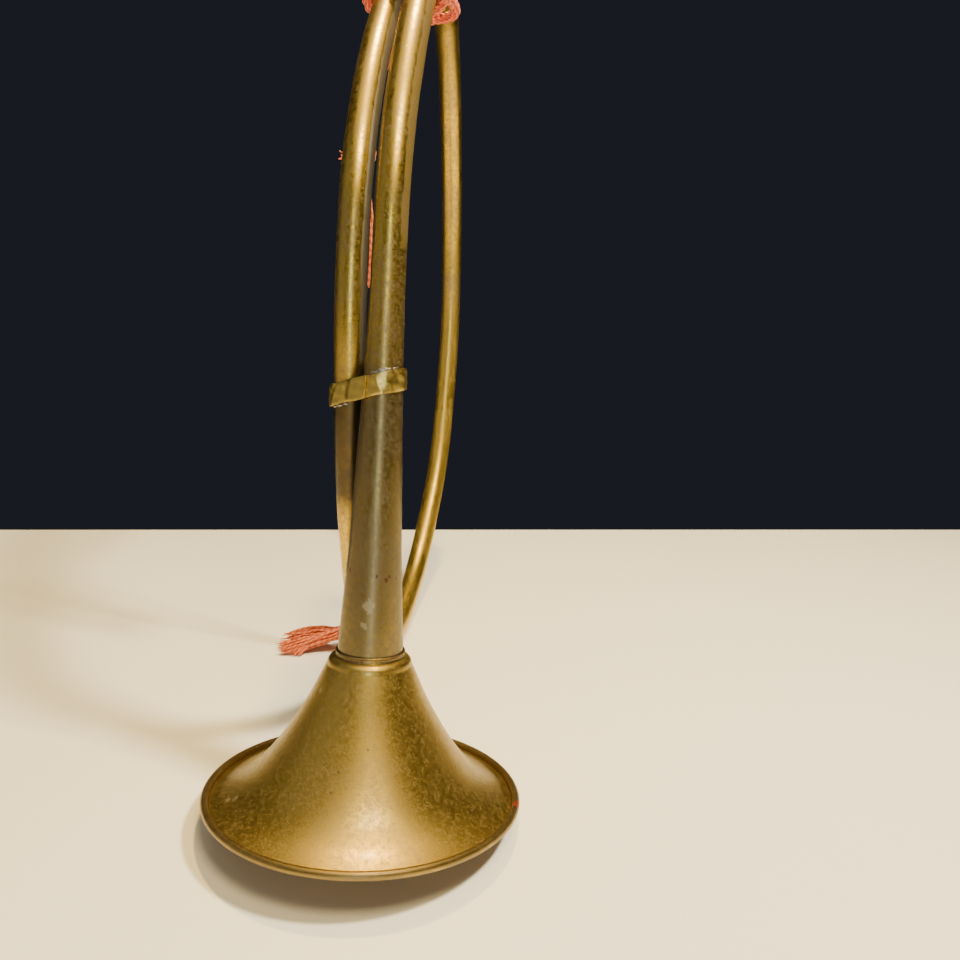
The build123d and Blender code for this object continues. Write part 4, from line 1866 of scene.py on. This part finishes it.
def stood(right: Array, up: Array, back: Array, place: Point) -> Matrix:
    """The matrix of a thing at a place, from its own right, up and back directions.

    Args:
        right: Its direction to the right.
        up: Its upward direction.
        back: The direction it faces away from.
        place: Where it is.

    Returns:
        The matrix.
    """
    turn = np.eye(4)
    turn[:3, 0], turn[:3, 1], turn[:3, 2], turn[:3, 3] = right, up, back, place
    return Matrix(turn.tolist())


@dataclass(frozen=True)
class Lamp:
    """An area light: where it is, its width and height, its power in watts and its colour."""

    name: str
    place: Point
    size: tuple[float, float]
    watts: float
    colour: Colour

    def put(self, aim: Point) -> bpy.types.Object:
        """Put it in the scene.

        Args:
            aim: The point it faces.

        Returns:
            The light.
        """
        data = bpy.data.lights.new(self.name, "AREA")
        data.shape = "RECTANGLE"
        data.size, data.size_y = self.size
        data.energy = self.watts
        data.color = self.colour
        made = bpy.data.objects.new(self.name, data)
        back = unit(np.array(self.place) - np.array(aim))
        right = unit(np.cross(Y_AXIS if abs(back[2]) > 0.9 else Z_AXIS, back))
        made.matrix_world = stood(right, np.cross(back, right), back, self.place)
        bpy.context.scene.collection.objects.link(made)
        return made


@dataclass
class Studio:
    """The camera, the floor, the lights and the dark room round them.

    A warm key lamp high on the right casts the shadows, and the metal doesn't mirror it. A small lamp above
    gives the bell its spark, and a wider one in front lights the tubes. Daylight comes from the front, with a
    soft ceiling and a soft left side.
    """

    eye: Point = (0.0740, -0.5039, 0.2577)
    right: Point = (0.9953, 0.0834, 0.0485)
    up: Point = (-0.0671, 0.2370, 0.9692)
    lens: float = 31.875
    back_left: tuple[float, float] = (-0.3196, 0.2387)
    back_right: tuple[float, float] = (0.0175, 0.3204)
    floor_drop: float = 0.0001
    middle: Point = (0.0, -0.05, 0.12)
    key: Lamp = Lamp("key", (0.56, -0.22, 1.12), (0.12, 0.12), 26.0, (1.0, 0.92, 0.76))
    others: tuple[Lamp, ...] = (
        Lamp("spark", (0.048, 0.066, 1.09), (0.05, 0.05), 11.0, (1.0, 0.68, 0.22)),
        Lamp("front_top", (0.22, -0.52, 0.98), (0.26, 0.26), 7.0, (1.0, 0.80, 0.46)),
        Lamp("daylight", (0.3, -2.0, 0.5), (0.3, 1.1), 9.0, (0.80, 0.90, 1.0)),
        Lamp("ceiling", (0.1, -0.3, 2.4), (2.6, 2.6), 22.0, (1.0, 0.90, 0.70)),
        Lamp("left_side", (-1.6, -0.9, 0.8), (1.8, 1.8), 3.0, (1.0, 0.94, 0.84)),
    )

    def camera(self) -> None:
        """The camera, from its place and its own right and up directions."""
        data = bpy.data.cameras.new("camera")
        data.lens = self.lens
        data.sensor_width = 36.0
        data.clip_start = 0.01
        made = bpy.data.objects.new("camera", data)
        right = unit(np.array(self.right))
        up = unit(np.array(self.up) - (np.array(self.up) @ right) * right)
        made.matrix_world = stood(right, up, np.cross(right, up), self.eye)
        bpy.context.scene.collection.objects.link(made)
        bpy.context.scene.camera = made

    def floor(self) -> None:
        """The pale floor: a flat sheet whose back edge passes through two given points."""
        left, right = np.array([*self.back_left, 0.0]), np.array([*self.back_right, 0.0])
        across = unit(right - left)
        front = np.array([across[1], -across[0], 0.0])
        first, last = left - 1.6 * across, left + 2.2 * across
        corners = [first, first + 1.9 * front, last + 1.9 * front, last]
        mesh = bpy.data.meshes.new("floor")
        mesh.from_pydata([tuple(c - self.floor_drop * Z_AXIS) for c in corners], [], [(0, 1, 2, 3)])
        mesh.materials.append(PaleBoard().material("pale_floor"))
        made = bpy.data.objects.new("floor", mesh)
        bpy.context.scene.collection.objects.link(made)

    def lights(self) -> None:
        """The lights. The key lamp is the only one that the metal doesn't mirror."""
        self.key.put(self.middle).visible_glossy = False
        for lamp in self.others:
            lamp.put(self.middle)

    def room(self) -> None:
        """A plain dark room."""
        world = bpy.data.worlds.new("room")
        world.use_nodes = True
        shade = world.node_tree.nodes["Background"]
        shade.inputs["Color"].default_value = (0.013, 0.0145, 0.021, 1.0)
        shade.inputs["Strength"].default_value = 1.0
        bpy.context.scene.world = world


def main() -> None:
    """Build the scene: the camera, the tassels and the cord, then the horn and the rest of the studio."""
    logging.basicConfig(level=logging.INFO)
    studio = Studio()
    studio.camera()
    bell = Bell()
    looks = Finishes(bell.roll_start())
    hanging, resting = HangingTassel(), RestingTassel()
    hung = hanging.build(looks, hanging.skirt())
    rested = resting.build(looks, resting.skirt())
    Cord().build(looks, hung, rested)
    bell.build(looks)
    Tubes().build(looks)
    Mouth().build(looks)
    Strap().build(looks)
    hidden = {
        "rim_wire": looks.iron,
        "stem_sleeve": looks.coil,
        "back_sleeve": looks.coil,
        "foot_sleeve": looks.coil,
    }
    for node, material in hidden.items():
        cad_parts[node].data.materials.clear()
        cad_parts[node].data.materials.append(material)
    studio.floor()
    studio.lights()
    studio.room()


if __name__ == "__main__":
    main()
